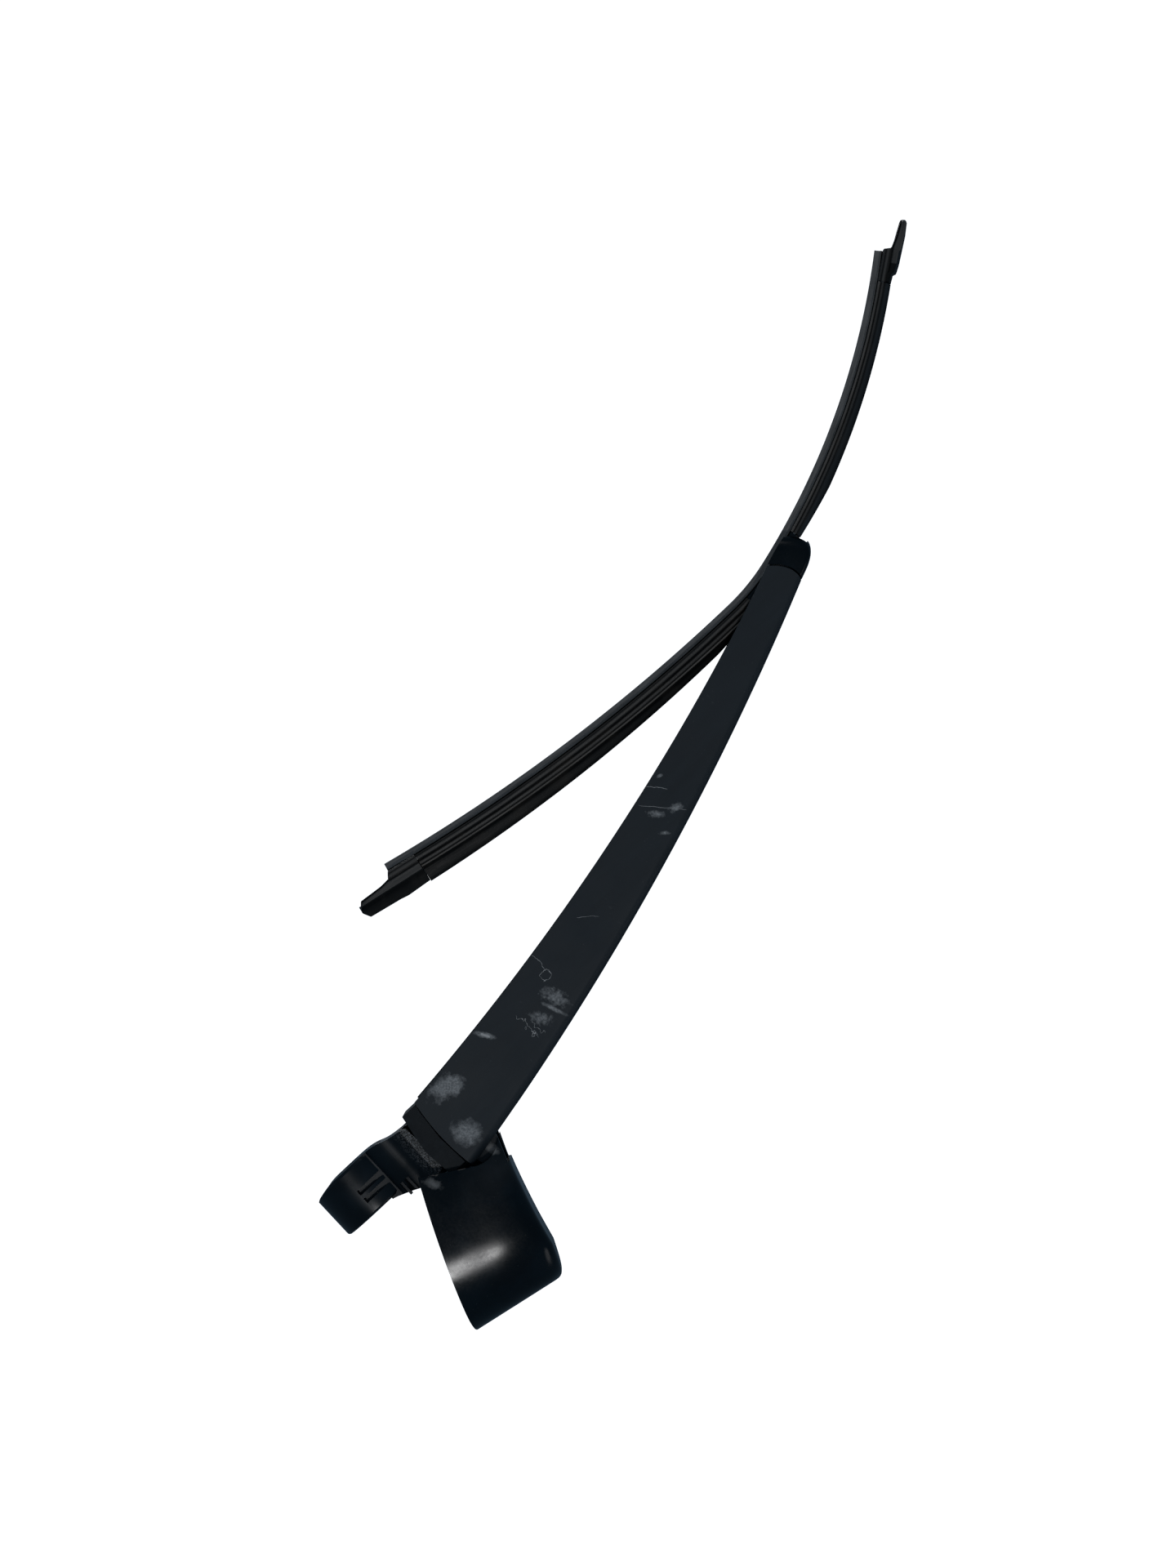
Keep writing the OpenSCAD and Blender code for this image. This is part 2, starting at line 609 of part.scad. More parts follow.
function cap_top(x) = cap_high + cap_crown * pow(max(min((-x - 10) / 36, 1), 0), 1.4);
function cap_x(f) = f < 1 ? -2 - (hinge_x - 2) * f : -hinge_x - cap_nose * sin((f - 1) * 90);
function cap_near_x(z) = z < 0 ? -7.4 - (cap_ear_r - 7.4) * (z + cap_low) / cap_low
    : -sqrt(max(cap_ear_r * cap_ear_r - z * z, 4));
function cap_w(f, off) = (cap_hw - off) * (f <= 1 ? 1 : pow(cos((f - 1) * 90), 0.75));
// f runs from 0 at the arm to 1 at the spindle axis and to 2 at the end wall
function cap_ring(f, off, drop) = let (
        x = cap_x(f) + (f > 1 ? off * sin((f - 1) * 90) : 0),
        end = max(f - 1, 0),
        top = cap_top(x) * (1 - 0.22 * pow(end, 6)) - off,
        bow = cap_bow * max(1 - pow((cap_x(f) + 32) / 26, 2), 0),
        h = top + cap_low + drop, hw = cap_w(f, off), r = min(5 - off * 0.6, hw * 0.8))
    [for (p = arch(hw, h + bow, r)) let (z = p[1] - cap_low - drop - bow)
        [f == 0 ? cap_near_x(z) : x + (f > 1 ? cap_slant * z * sin((f - 1) * 90) : 0), p[0], z]];

module cap_lug_outline() {
    circle(boss_r);
    polygon([[1.5, boss_r - 0.4], [-11, cap_high - 1], [-20, cap_high - 0.8], [-17.5, 6.5],
             [-3, -boss_r + 1.1]]);
}

module cap() {
    nose_steps = [1.94, 1.86, 1.78, 1.7, 1.6, 1.5, 1.4, 1.3, 1.2, 1.1, 1, 0.8, 0.6, 0.4];
    color("#121316") translate([hinge_x, 0, hinge_z]) rotate([0, cap_open, 0]) difference() {
        union() {
            difference() {
                skin([for (f = concat(nose_steps, [0.2, 0]))
                    cap_ring(f, 0, 0)], true);
                skin([for (f = concat(nose_steps, [0.2, -0.2]))
                    cap_ring(f, cap_t, 1)], true);
                across(-cap_in_hw - relief, cap_in_hw + relief)
                    translate([-12.6, -cap_low - 10]) square([30, 60]);
            }
            both(lug_in, lug_out) cap_lug_outline();
        }
        bar(0, 0, pin_r + run_gap, -20, 20);
    }
}

// ---- spring and its link

module along_spring() {
    translate([link_x, 0, link_z]) rotate([0, 5.7, 0]) children();
}
coil_from = 20;
coil_to = spring_reach - 9;
coil_mid = spring_r - wire_r;
hook_loop = coil_mid * 0.83;   // radius of the end hook's centre line
hook_back = hook_loop - wire_r - hook_pin_r - run_gap;

module spring_link() {
    strap = 1.4;
    hook_r = hook_pin_r + run_gap;
    color("#6d7278") along_spring() difference() {
        union() {
            across(-strap, strap) {
                circle(hook_r + 1.9);
                polygon([[0, 0.6], [0, -hook_r - 1.9], [12, -2.6], [coil_from, -1.8], [coil_from, 1.8],
                         [12, 0.6]]);
            }
            translate([coil_from - 1, 0, 0]) rotate([0, 90, 0]) cylinder(r = coil_mid - wire_r - 0.2, h = 7);
        }
        across(-20, 20) circle(hook_r);
    }
}

function spring_path() = let (per = 10, n = spring_turns * per) concat(
    [for (i = [0 : n]) let (a = i * 360 / per, x = coil_from + wire_r + (coil_to - coil_from) * i / n)
        [x, coil_mid * sin(a), coil_mid * cos(a)]],
    [for (i = [1 : 8]) let (a = i * 30)
        [spring_reach - hook_back + hook_loop * sin(a - 90), 0.001 * i,
            hook_loop * cos(a - 90) + (i < 3 ? (3 - i) * 1.05 : 0)]]);

module tension_spring() {
    color("#7c828a") along_spring() wire(spring_path(), wire_r, 6, [0, 0, 1]);
}

module hinge_bush_left() hinge_bush(1);
module hinge_bush_right() hinge_bush(-1);
module rail_left() rail(1);
module rail_right() rail(-1);

head();
hinge_bush_left();
hinge_bush_right();
hinge_pin();
link_pin();
arm_shell();
hinge_collar();
spring_pin();
tip_cap();
blade_adapter();
cap();
spring_link();
tension_spring();
blade_pin();
blade_carrier();
rail_left();
rail_right();
wiper_rubber();
spoiler_outer();
spoiler_inner();
end_cap_outer();
end_cap_inner();
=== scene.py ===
import bmesh
import bpy
import math
import numpy as np
from mathutils import Matrix, Vector


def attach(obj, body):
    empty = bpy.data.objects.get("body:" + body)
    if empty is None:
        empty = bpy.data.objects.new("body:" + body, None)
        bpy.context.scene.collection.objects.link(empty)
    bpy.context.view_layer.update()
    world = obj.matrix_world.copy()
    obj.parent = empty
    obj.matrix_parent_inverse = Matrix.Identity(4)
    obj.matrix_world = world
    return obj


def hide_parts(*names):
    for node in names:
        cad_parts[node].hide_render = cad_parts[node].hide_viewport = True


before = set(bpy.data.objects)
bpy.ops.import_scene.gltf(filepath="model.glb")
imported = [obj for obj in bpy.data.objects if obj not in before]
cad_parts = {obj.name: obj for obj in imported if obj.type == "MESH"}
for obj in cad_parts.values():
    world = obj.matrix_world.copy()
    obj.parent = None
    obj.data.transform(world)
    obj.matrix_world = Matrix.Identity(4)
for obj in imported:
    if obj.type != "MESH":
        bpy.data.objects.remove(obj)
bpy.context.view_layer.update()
print("frame loaded:", len(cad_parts), "nodes")

mm = 0.001
hinge = (39.0, 18.0)  # hinge pin seen from the side, x and z in mm
linkPin = (34.0, 5.0)
bladeAt = (249.774, -47.642)  # blade pin


# Shapes. Each one is a pair (points in mm, faces), and a piece joins several of them.

def loft(rings, closeEnds="", loop=False):
    # rings of points carried along a path: point (i, j) joins (i + 1, j) and (i, j + 1);
    # closeEnds holds s and e for a wall's end strips, or f for flat ends; loop joins last to first
    count, around = rings.shape[:2]
    i = np.arange(count if loop else count - 1)[:, None]
    j = np.arange(around)[None, :]
    i2, j2 = (i + 1) % count, (j + 1) % around
    quads = np.stack([i * around + j, i * around + j2, i2 * around + j2, i2 * around + j], axis=-1)
    faces = quads.reshape(-1, 4).tolist()
    k = np.arange(around // 2 - 1)
    strip = np.stack([k, around - 1 - k, around - 2 - k, k + 1], axis=-1)
    last = (count - 1) * around
    if "s" in closeEnds:
        faces += strip.tolist()
    if "e" in closeEnds:
        faces += (strip[:, ::-1] + last).tolist()
    if "f" in closeEnds:
        faces.append(list(range(around))[::-1])
        faces.append(list(range(last, last + around)))
    return rings.reshape(-1, 3), faces


def prism(outline, low, high):
    # a side-view outline between two places across the part
    outline = np.asarray(outline, float)
    rings = np.stack([np.column_stack([outline[:, 0], np.full(len(outline), y), outline[:, 1]])
                      for y in (low, high)])
    return loft(rings, "f")


def turning(centre, profile, count=48):
    # a closed (radius, y) profile turned about a line across the part
    radius, y = np.asarray(profile, float).T
    angle = np.linspace(0, 2 * np.pi, count, endpoint=False)[:, None]
    rings = np.stack([centre[0] + radius * np.cos(angle), y + 0 * angle,
                      centre[1] + radius * np.sin(angle)], axis=-1)
    return loft(rings, loop=True)


def wireAlong(path, radius, sides=12):
    # a circle carried along the path, square to its tangent; the side vector is the across axis
    tangent = np.gradient(path, axis=0)
    tangent /= np.linalg.norm(tangent, axis=1)[:, None]
    side = np.cross(tangent, [0.0, 0.31, 0.95])
    side /= np.linalg.norm(side, axis=1)[:, None]
    up = np.cross(side, tangent)
    angle = np.linspace(0, 2 * np.pi, sides, endpoint=False)
    rings = path[:, None, :] + radius * (np.cos(angle)[None, :, None] * side[:, None, :]
                                         + np.sin(angle)[None, :, None] * up[:, None, :])
    return loft(rings, "f")


def joinShapes(shapes):
    # one shape out of several; the face numbers move on by the points before them
    shifts = np.cumsum([0] + [len(points) for points, faces in shapes])
    faces = [[index + shift for index in face] for shift, (points, faces) in zip(shifts, shapes)
             for face in faces]
    return np.concatenate([points for points, shapeFaces in shapes]), faces


def closedMesh(name, shape, extra=None):
    # mesh in metres, seams welded and every shell turned outwards
    mesh = bpy.data.meshes.new(name)
    mesh.from_pydata((shape[0] * mm).tolist(), [], shape[1])
    for key, values in (extra or {}).items():
        column = mesh.attributes.new(key, "FLOAT", "POINT")
        column.data.foreach_set("value", values.ravel())
    work = bmesh.new()
    work.from_mesh(mesh)
    bmesh.ops.remove_doubles(work, verts=work.verts, dist=3e-6)
    bmesh.ops.dissolve_degenerate(work, edges=work.edges, dist=2e-6)
    bmesh.ops.recalc_face_normals(work, faces=work.faces)
    work.to_mesh(mesh)
    work.free()
    return mesh


def cutShape(shape, *cutters):
    # exact boolean: the shape less all the cutters
    parts = []
    for name, content in (("base", shape), ("tool", joinShapes(cutters))):
        part = bpy.data.objects.new(name, closedMesh(name, content))
        bpy.context.scene.collection.objects.link(part)
        parts.append(part)
    base, tool = parts
    cut = base.modifiers.new("cut", "BOOLEAN")
    cut.object, cut.operation, cut.solver = tool, "DIFFERENCE", "EXACT"
    bpy.context.view_layer.update()
    mesh = bpy.data.meshes.new_from_object(base.evaluated_get(bpy.context.evaluated_depsgraph_get()))
    points = np.empty(len(mesh.vertices) * 3)
    mesh.vertices.foreach_get("co", points)
    faces = [list(face.vertices) for face in mesh.polygons]
    for part in parts:
        bpy.data.objects.remove(part)
    return points.reshape(-1, 3) / mm, faces


def makePiece(name, body, nodes, material, shapes, bevel=0.0, smooth=35, extra=None):
    # a visible piece that rides on a body and stands for CAD nodes; edges past smooth degrees stay
    # sharp, and extra holds values per point that a material reads
    mesh = closedMesh(name, joinShapes(shapes), extra)
    mesh.shade_smooth()
    mesh.set_sharp_from_angle(angle=math.radians(smooth))
    piece = bpy.data.objects.new(name, mesh)
    bpy.context.scene.collection.objects.link(piece)
    if bevel:
        rounding = piece.modifiers.new("roundedEdges", "BEVEL")
        rounding.width = bevel * mm
        rounding.segments = 3
        rounding.limit_method = "ANGLE"
        rounding.angle_limit = math.radians(38)
    mesh.materials.append(material)
    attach(piece, body)
    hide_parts(*nodes)
    print("piece", name, len(mesh.vertices), "points")


def archSection(half, high, radius, side=8, corner=9, top=6):
    # inverted U: up one side, round the corner, over the top and down; arrays of (y, height)
    half, high, radius = (np.atleast_1d(value)[:, None] for value in (half, high, radius))
    t = np.linspace(0, 1, side, endpoint=False)[None, :]
    turn = np.radians(np.linspace(180, 90, corner))[None, :]
    across = np.linspace(-1, 1, top + 2)[None, 1:-1]
    left = [-half + 0 * t, -half + radius + radius * np.cos(turn)]
    leftUp = [t * (high - radius), high - radius + radius * np.sin(turn)]
    right = [-part[:, ::-1] for part in left[::-1]]
    rightUp = [part[:, ::-1] for part in leftUp[::-1]]
    y = np.concatenate(left + [across * (half - radius)] + right, axis=1)
    z = np.concatenate(leftUp + [high + 0 * across] + rightUp, axis=1)
    return y, z


# Materials. Noise on Object coordinates, in metres, drives colour, roughness and relief.

def shaderNode(tree, kind, inputs=None, **settings):
    made = tree.nodes.new("ShaderNode" + kind)
    for key, value in settings.items():
        setattr(made, key, value)
    for key, value in (inputs or {}).items():
        if isinstance(value, bpy.types.NodeSocket):
            tree.links.new(value, made.inputs[key])
        else:
            made.inputs[key].default_value = value
    return made


def noise(tree, coord, scale, detail=3.0, stretch=None, rough=0.55):
    if stretch:
        coord = shaderNode(tree, "Mapping", {"Vector": coord, "Scale": stretch}).outputs[0]
    return shaderNode(tree, "TexNoise", {"Vector": coord, "Scale": scale, "Detail": detail,
                                         "Roughness": rough}).outputs[0]


def ramp(tree, value, low, high, toLow=0.0, toHigh=1.0):
    return shaderNode(tree, "MapRange", {"Value": value, "From Min": low, "From Max": high,
                                         "To Min": toLow, "To Max": toHigh}).outputs[0]


def calc(tree, kind, a, b=0.0):
    return shaderNode(tree, "Math", {0: a, 1: b}, operation=kind).outputs[0]


def mixed(tree, amount, under, over):
    return shaderNode(tree, "Mix", {0: amount, 6: under, 7: over}, data_type="RGBA").outputs[2]


def tint(value, warm=0.0):
    return (value * (1 + warm), value, value * (1 - warm), 1.0)


def startMaterial(name):
    material = bpy.data.materials.new(name)
    material.use_nodes = True
    tree = material.node_tree
    shader = tree.nodes["Principled BSDF"]
    coord = tree.nodes.new("ShaderNodeTexCoord").outputs["Object"]
    return material, tree, shader, coord


def relief(tree, shader, height, depth):
    bump = shaderNode(tree, "Bump", {"Height": height, "Strength": 1.0, "Distance": depth * mm})
    tree.links.new(bump.outputs[0], shader.inputs["Normal"])


def mark(tree, coord, x, z, halfX, halfZ, turn=0.0, soft=0.5, ragged=0.6, grain=900.0):
    # patch on the side faces: 1 inside a ragged ellipse centred on (x, z) mm, fading outwards
    local = shaderNode(tree, "Mapping", {"Vector": coord, "Location": (x * mm, 0, z * mm),
                                         "Rotation": (0, -math.radians(turn), 0),
                                         "Scale": (halfX * mm, 100.0, halfZ * mm)}, vector_type="TEXTURE")
    length = shaderNode(tree, "VectorMath", {0: local.outputs[0]}, operation="LENGTH").outputs["Value"]
    wobble = calc(tree, "MULTIPLY", calc(tree, "SUBTRACT", noise(tree, coord, grain, 4), 0.5), ragged * 2)
    return ramp(tree, calc(tree, "ADD", length, wobble), 1.0 + soft, 1.0 - soft)


def scratch(tree, coord, x, z, halfLength, width, turn=0.0, wave=1.2, waveScale=260.0, loop=False):
    # thin line: distance to a line (or to a circle) after the coordinates are shaken by noise
    shaken = shaderNode(tree, "TexNoise", {"Vector": coord, "Scale": waveScale, "Detail": 2.0})
    offset = shaderNode(tree, "VectorMath", {0: shaken.outputs[1], 1: (0.5, 0.5, 0.5)},
                        operation="SUBTRACT")
    scaled = shaderNode(tree, "VectorMath", {0: offset.outputs[0], "Scale": wave * 4 * mm},
                        operation="SCALE")
    moved = shaderNode(tree, "VectorMath", {0: coord, 1: scaled.outputs[0]}, operation="ADD").outputs[0]
    local = shaderNode(tree, "Mapping", {"Vector": moved, "Location": (x * mm, 0, z * mm),
                                         "Rotation": (0, -math.radians(turn), 0),
                                         "Scale": (halfLength * mm, 100.0, halfLength * mm)},
                       vector_type="TEXTURE").outputs[0]
    length = shaderNode(tree, "VectorMath", {0: local}, operation="LENGTH").outputs["Value"]
    thin = width / halfLength
    if loop:
        return ramp(tree, calc(tree, "ABSOLUTE", calc(tree, "SUBTRACT", length, 0.8)), thin, thin * 0.4)
    parts = shaderNode(tree, "SeparateXYZ", {0: local})
    line = ramp(tree, calc(tree, "ABSOLUTE", parts.outputs[2]), thin, thin * 0.4)
    return calc(tree, "MULTIPLY", line, ramp(tree, length, 1.0, 0.85))


def joined(tree, masks):
    total = masks[0]
    for extra in masks[1:]:
        total = calc(tree, "MAXIMUM", total, extra)
    return total


armLook = {"colour": 0.0200, "worn": 0.0260, "cool": -0.34, "rough": (0.46, 0.62), "grain": 2600.0,
           "grainDepth": 0.012, "scuff": 0.5, "scratch": 0.6}


# x, z, half length, half width in mm, direction in degrees, softness, raggedness, grain
scuffPlaces = [(45.2, 0.6, 5.4, 3.3, 15, 0.35, 0.9, 420), (39.9, 16.6, 4.2, 3.4, 60, 0.45, 0.8, 420),
               (66.9, -3.3, 3.3, 0.8, 57, 0.4, 0.5, 700), (90.2, 6.2, 3.6, 0.6, 70, 0.5, 0.7, 600),
               (93.2, 3.4, 3.3, 1.7, 70, 0.7, 1.6, 800), (84.8, 5.4, 2.4, 1.3, 60, 0.8, 1.8, 800),
               (171.0, -27.5, 0.9, 0.5, 20, 0.4, 0.6, 900), (167.7, -15.7, 1.8, 1.0, 20, 0.6, 1.3, 900),
               (161.2, -18.7, 2.0, 0.7, 50, 0.8, 1.6, 900), (158.9, -12.0, 1.3, 0.5, 40, 0.7, 1.3, 900)]
# x, z, half length, half width in mm, direction in degrees, wave in mm, wave scale
scratchPlaces = [(97.4, -9.3, 3.4, 0.10, 90, 0.9, 300), (79.5, 4.2, 6.2, 0.10, 90, 1.7, 420),
                 (82.0, 7.4, 2.6, 0.10, 75, 1.6, 520), (167.2, -25.7, 4.4, 0.08, 50, 0.5, 200),
                 (66.9, -3.3, 1.7, 0.50, 57, 0.3, 200), (164.0, -19.1, 8.6, 0.07, 50, 0.6, 150),
                 (120.0, -9.0, 4.0, 0.05, 40, 0.6, 200)]
loopPlace = (95.8, -4.2, 2.6, 0.11)


def armMaterial():
    material, tree, shader, coord = startMaterial("armMatte")
    cloud = noise(tree, coord, 45, 4)
    fine = noise(tree, coord, armLook["grain"], 2)
    streak = noise(tree, coord, 160, 4, (0.25, 1, 1.6))
    worn = ramp(tree, calc(tree, "MULTIPLY", cloud, streak), 0.18, 0.42)
    side = shaderNode(tree, "SeparateXYZ", {0: coord}).outputs[1]
    facing = ramp(tree, side, 0.0055, 0.0075)  # the marks are on the +Y side only
    scuffs = [mark(tree, coord, *place) for place in scuffPlaces]
    lines = [scratch(tree, coord, *place) for place in scratchPlaces]
    lines.append(scratch(tree, coord, *loopPlace, wave=1.5, waveScale=380, loop=True))
    patchy = ramp(tree, noise(tree, coord, 1500, 3), 0.3, 0.65, 0.35, 1.0)
    scuff = calc(tree, "MULTIPLY", calc(tree, "MULTIPLY", joined(tree, scuffs), patchy), facing)
    line = calc(tree, "MULTIPLY", joined(tree, lines), facing)
    specks = ramp(tree, noise(tree, coord, 700, 1), 0.735, 0.78)
    look = mixed(tree, worn, tint(armLook["colour"], armLook["cool"]),
                 tint(armLook["worn"], armLook["cool"]))
    look = mixed(tree, calc(tree, "MULTIPLY", specks, 0.105), look, tint(0.16, -0.04))
    look = mixed(tree, calc(tree, "MULTIPLY", scuff, 0.8), look, tint(armLook["scuff"], -0.02))
    look = mixed(tree, calc(tree, "MULTIPLY", line, 0.9), look, tint(armLook["scratch"]))
    tree.links.new(look, shader.inputs["Base Color"])
    rough = ramp(tree, cloud, 0.3, 0.7, *armLook["rough"])
    rough = calc(tree, "ADD", rough, calc(tree, "MULTIPLY", scuff, 0.2))
    tree.links.new(rough, shader.inputs["Roughness"])
    shader.inputs["Specular IOR Level"].default_value = 0.42
    relief(tree, shader, calc(tree, "ADD", fine, calc(tree, "MULTIPLY", line, -2.0)), armLook["grainDepth"])
    return material


glossLook = {"colour": 0.0035, "cool": -0.7, "rough": (0.13, 0.26), "smudge": 38.0, "speck": 0.08,
             "shine": 0.38, "wave": 0.10}
# strength, then the place as for the arm: two chalky rubs and a wide faint lighter patch
capMarks = [(0.6, 19.6, 21.4, 2.4, 1.2, 60, 0.6, 0.9, 700), (0.6, 42.1, 26.4, 2.2, 1.3, 60, 0.5, 0.9, 600),
            (0.05, 39, 33, 11, 5, 0, 0.9, 0.9, 140)]


def glossMaterial(name, rubs=()):
    # smudged gloss; rubs are chalky patches
    material, tree, shader, coord = startMaterial(name)
    colour, cool = glossLook["colour"], glossLook["cool"]
    smudge = noise(tree, coord, glossLook["smudge"], 5)
    fine = noise(tree, coord, 1200, 3)
    blot = ramp(tree, noise(tree, coord, 85, 3), 0.42, 0.6)
    speck = ramp(tree, noise(tree, coord, 1500, 1), 0.74, 0.8)
    look = mixed(tree, blot, tint(colour, cool), tint(colour * 1.9, cool))
    look = mixed(tree, calc(tree, "MULTIPLY", speck, 0.35), look, tint(glossLook["speck"]))
    for strength, *place in rubs:
        rub = calc(tree, "MULTIPLY", mark(tree, coord, *place), strength)
        look = mixed(tree, rub, look, tint(0.3))
    tree.links.new(look, shader.inputs["Base Color"])
    rough = calc(tree, "ADD", ramp(tree, smudge, 0.3, 0.7, *glossLook["rough"]),
                 ramp(tree, fine, 0.3, 0.8, 0.0, 0.06))
    tree.links.new(rough, shader.inputs["Roughness"])
    shader.inputs["Specular IOR Level"].default_value = glossLook["shine"]
    relief(tree, shader, noise(tree, coord, 55, 2), glossLook["wave"])
    return material


castLook = {"colour": 0.0035, "cool": -0.65, "rough": (0.2, 0.36), "pitFrom": 20.5, "pitFull": 25.5,
            "pitDepth": 0.10, "pitBright": 0.30}


def castMaterial():
    # glossy coat that turns into a rough pitted band beside the collar
    material, tree, shader, coord = startMaterial("castCoat")
    along = shaderNode(tree, "SeparateXYZ", {0: coord}).outputs[0]
    torn = calc(tree, "ADD", along, calc(tree, "MULTIPLY", noise(tree, coord, 260, 4), 0.003))
    band = ramp(tree, torn, castLook["pitFrom"] * mm, castLook["pitFull"] * mm)
    pits = shaderNode(tree, "TexVoronoi", {"Vector": coord, "Scale": 1800.0}).outputs[0]
    grit = noise(tree, coord, 1700, 5)
    bright = calc(tree, "MULTIPLY", band, ramp(tree, grit, 0.44, 0.66))
    cloud = noise(tree, coord, 70, 4)
    look = mixed(tree, ramp(tree, cloud, 0.4, 0.65), tint(castLook["colour"], castLook["cool"]),
                 tint(castLook["colour"] * 2.2, castLook["cool"]))
    look = mixed(tree, calc(tree, "MULTIPLY", bright, 0.7), look, tint(castLook["pitBright"], -0.05))
    tree.links.new(look, shader.inputs["Base Color"])
    tree.links.new(calc(tree, "ADD", ramp(tree, cloud, 0.3, 0.7, *castLook["rough"]),
                        calc(tree, "MULTIPLY", band, 0.2)), shader.inputs["Roughness"])
    height = calc(tree, "ADD", calc(tree, "MULTIPLY", calc(tree, "ADD", grit, pits), band),
                  calc(tree, "MULTIPLY", noise(tree, coord, 240, 3), 0.12))
    relief(tree, shader, height, castLook["pitDepth"])
    return material


def mouldedMaterial(name, colour, dusty, warm, rough=(0.5, 0.72), grain=1500.0, depth=0.03, dirt=0.3,
                    shine=0.4):
    # moulded plastic or rubber with settled dust
    material, tree, shader, coord = startMaterial(name)
    cloud = noise(tree, coord, 90, 5)
    fine = noise(tree, coord, grain, 4)
    settled = ramp(tree, calc(tree, "MULTIPLY", cloud, noise(tree, coord, 420, 4)), 0.2, 0.42)
    look = mixed(tree, calc(tree, "MULTIPLY", settled, dirt), tint(colour, warm - 0.2), tint(dusty, warm))
    speck = ramp(tree, noise(tree, coord, 1300, 2), 0.7, 0.78)
    look = mixed(tree, calc(tree, "MULTIPLY", speck, 0.3 * dirt), look, tint(0.3, warm))
    tree.links.new(look, shader.inputs["Base Color"])
    tree.links.new(ramp(tree, cloud, 0.3, 0.7, *rough), shader.inputs["Roughness"])
    shader.inputs["Specular IOR Level"].default_value = shine
    relief(tree, shader, fine, depth)
    return material


def bladeMaterial(name, colour, chalkAndLitTone, warm, rough=(0.5, 0.7), shine=0.4):
    # colour goes from dark to chalky with the "wearAndLitFacet" kept on the mesh, in streaks along the
    # blade; on the end caps that value is painted light, which makes the lit facet lighter
    material, tree, shader, coord = startMaterial(name)
    wearAndLitFacet, rise, along = (shaderNode(tree, "Attribute", attribute_name=key).outputs["Fac"]
                         for key in ("wearAndLitFacet", "rise", "along"))
    track = shaderNode(tree, "CombineXYZ", {0: calc(tree, "MULTIPLY", along, 0.09),
                                            1: calc(tree, "MULTIPLY", rise, 1.6)}).outputs[0]
    drawn = shaderNode(tree, "TexNoise", {"Vector": track, "Scale": 1.0, "Detail": 6.0,
                                          "Roughness": 0.62}).outputs[0]
    blotch = noise(tree, coord, 120, 5)
    # on the end caps this paints light: their lit facet gets the lighter tone
    chalkAndLitFacet = calc(tree, "MULTIPLY", wearAndLitFacet, ramp(tree, drawn, 0.34, 0.6, 0.5, 1.0))
    dust = calc(tree, "MULTIPLY", ramp(tree, blotch, 0.5, 0.68), 0.3)
    look = mixed(tree, chalkAndLitFacet, tint(colour, -0.08), tint(chalkAndLitTone, warm))
    look = mixed(tree, dust, look, tint(chalkAndLitTone * 0.3, warm + 0.08))
    tree.links.new(look, shader.inputs["Base Color"])
    tree.links.new(ramp(tree, drawn, 0.3, 0.7, *rough), shader.inputs["Roughness"])
    tree.links.new(ramp(tree, wearAndLitFacet, 0.0, 0.2, 0.12, shine), shader.inputs["Specular IOR Level"])
    pores = calc(tree, "MULTIPLY", noise(tree, coord, 1400, 3), 0.6)
    relief(tree, shader, calc(tree, "ADD", drawn, pores), 0.06)
    return material


def steelMaterial(name, colour, rough):
    material, tree, shader, coord = startMaterial(name)
    drawn = noise(tree, coord, 900, 4, (0.12, 1, 1))
    stain = ramp(tree, noise(tree, coord, 150, 4), 0.5, 0.7)
    look = mixed(tree, calc(tree, "MULTIPLY", stain, 0.5), tint(colour), tint(colour * 0.45, 0.12))
    tree.links.new(look, shader.inputs["Base Color"])
    tree.links.new(ramp(tree, drawn, 0.3, 0.7, *rough), shader.inputs["Roughness"])
    shader.inputs["Metallic"].default_value = 1.0
    relief(tree, shader, drawn, 0.01)
    return material


looks = {
    "arm": armMaterial(),
    "gloss": glossMaterial("glossBlack"),
    "capGloss": glossMaterial("capGloss", capMarks),
    "cast": castMaterial(),
    "collar": mouldedMaterial("collarDull", 0.010, 0.045, -0.2, (0.42, 0.58), 1900.0, 0.02, 0.3, 0.18),
    # the end caps' lighter tone also serves as painted light on their lit facet
    "endCap": bladeMaterial("endCapDull", 0.008, 0.14, 0.06, (0.42, 0.62)),
    "bush": mouldedMaterial("bushDull", 0.03, 0.08, 0.0),
    "rubber": bladeMaterial("chalkyRubber", 0.008, 0.20, 0.0, (0.55, 0.75)),
    "spoiler": bladeMaterial("dustySpoiler", 0.008, 0.14, 0.1, (0.36, 0.55)),
    "pin": steelMaterial("turnedSteel", 0.5, (0.25, 0.4)),
    "spring": steelMaterial("oiledSteel", 0.32, (0.3, 0.5)),
}
print("materials made:", len(looks))


# Arm. U-sections stand along an arc, and narrow, thin and lean towards the tip.
armSize = {"rear": 33.6, "below": 6.3, "length": 225.0, "bowRadius": 1000.0, "slope": 9.3,
           "depth": 29.6, "tipDepth": 12.8, "taper": 1.2, "half": 15.2, "tipHalf": 8.0,
           "wall": 1.8, "round": 3.4, "lean": 25.0, "rearBow": 1.3, "tipBow": 2.2, "stations": 140}


def armLine(s):
    # arc of the arm's middle: place, direction angle and lean at a distance s along it
    size = armSize
    slope = math.radians(size["slope"])
    angle = -slope - s / size["bowRadius"]
    x = size["rear"] + size["bowRadius"] * (math.sin(-slope) - np.sin(angle))
    z = hinge[1] - size["below"] + size["bowRadius"] * (np.cos(angle) - math.cos(slope))
    lean = np.radians(size["lean"]) * s / size["length"]
    return x, z, angle, lean


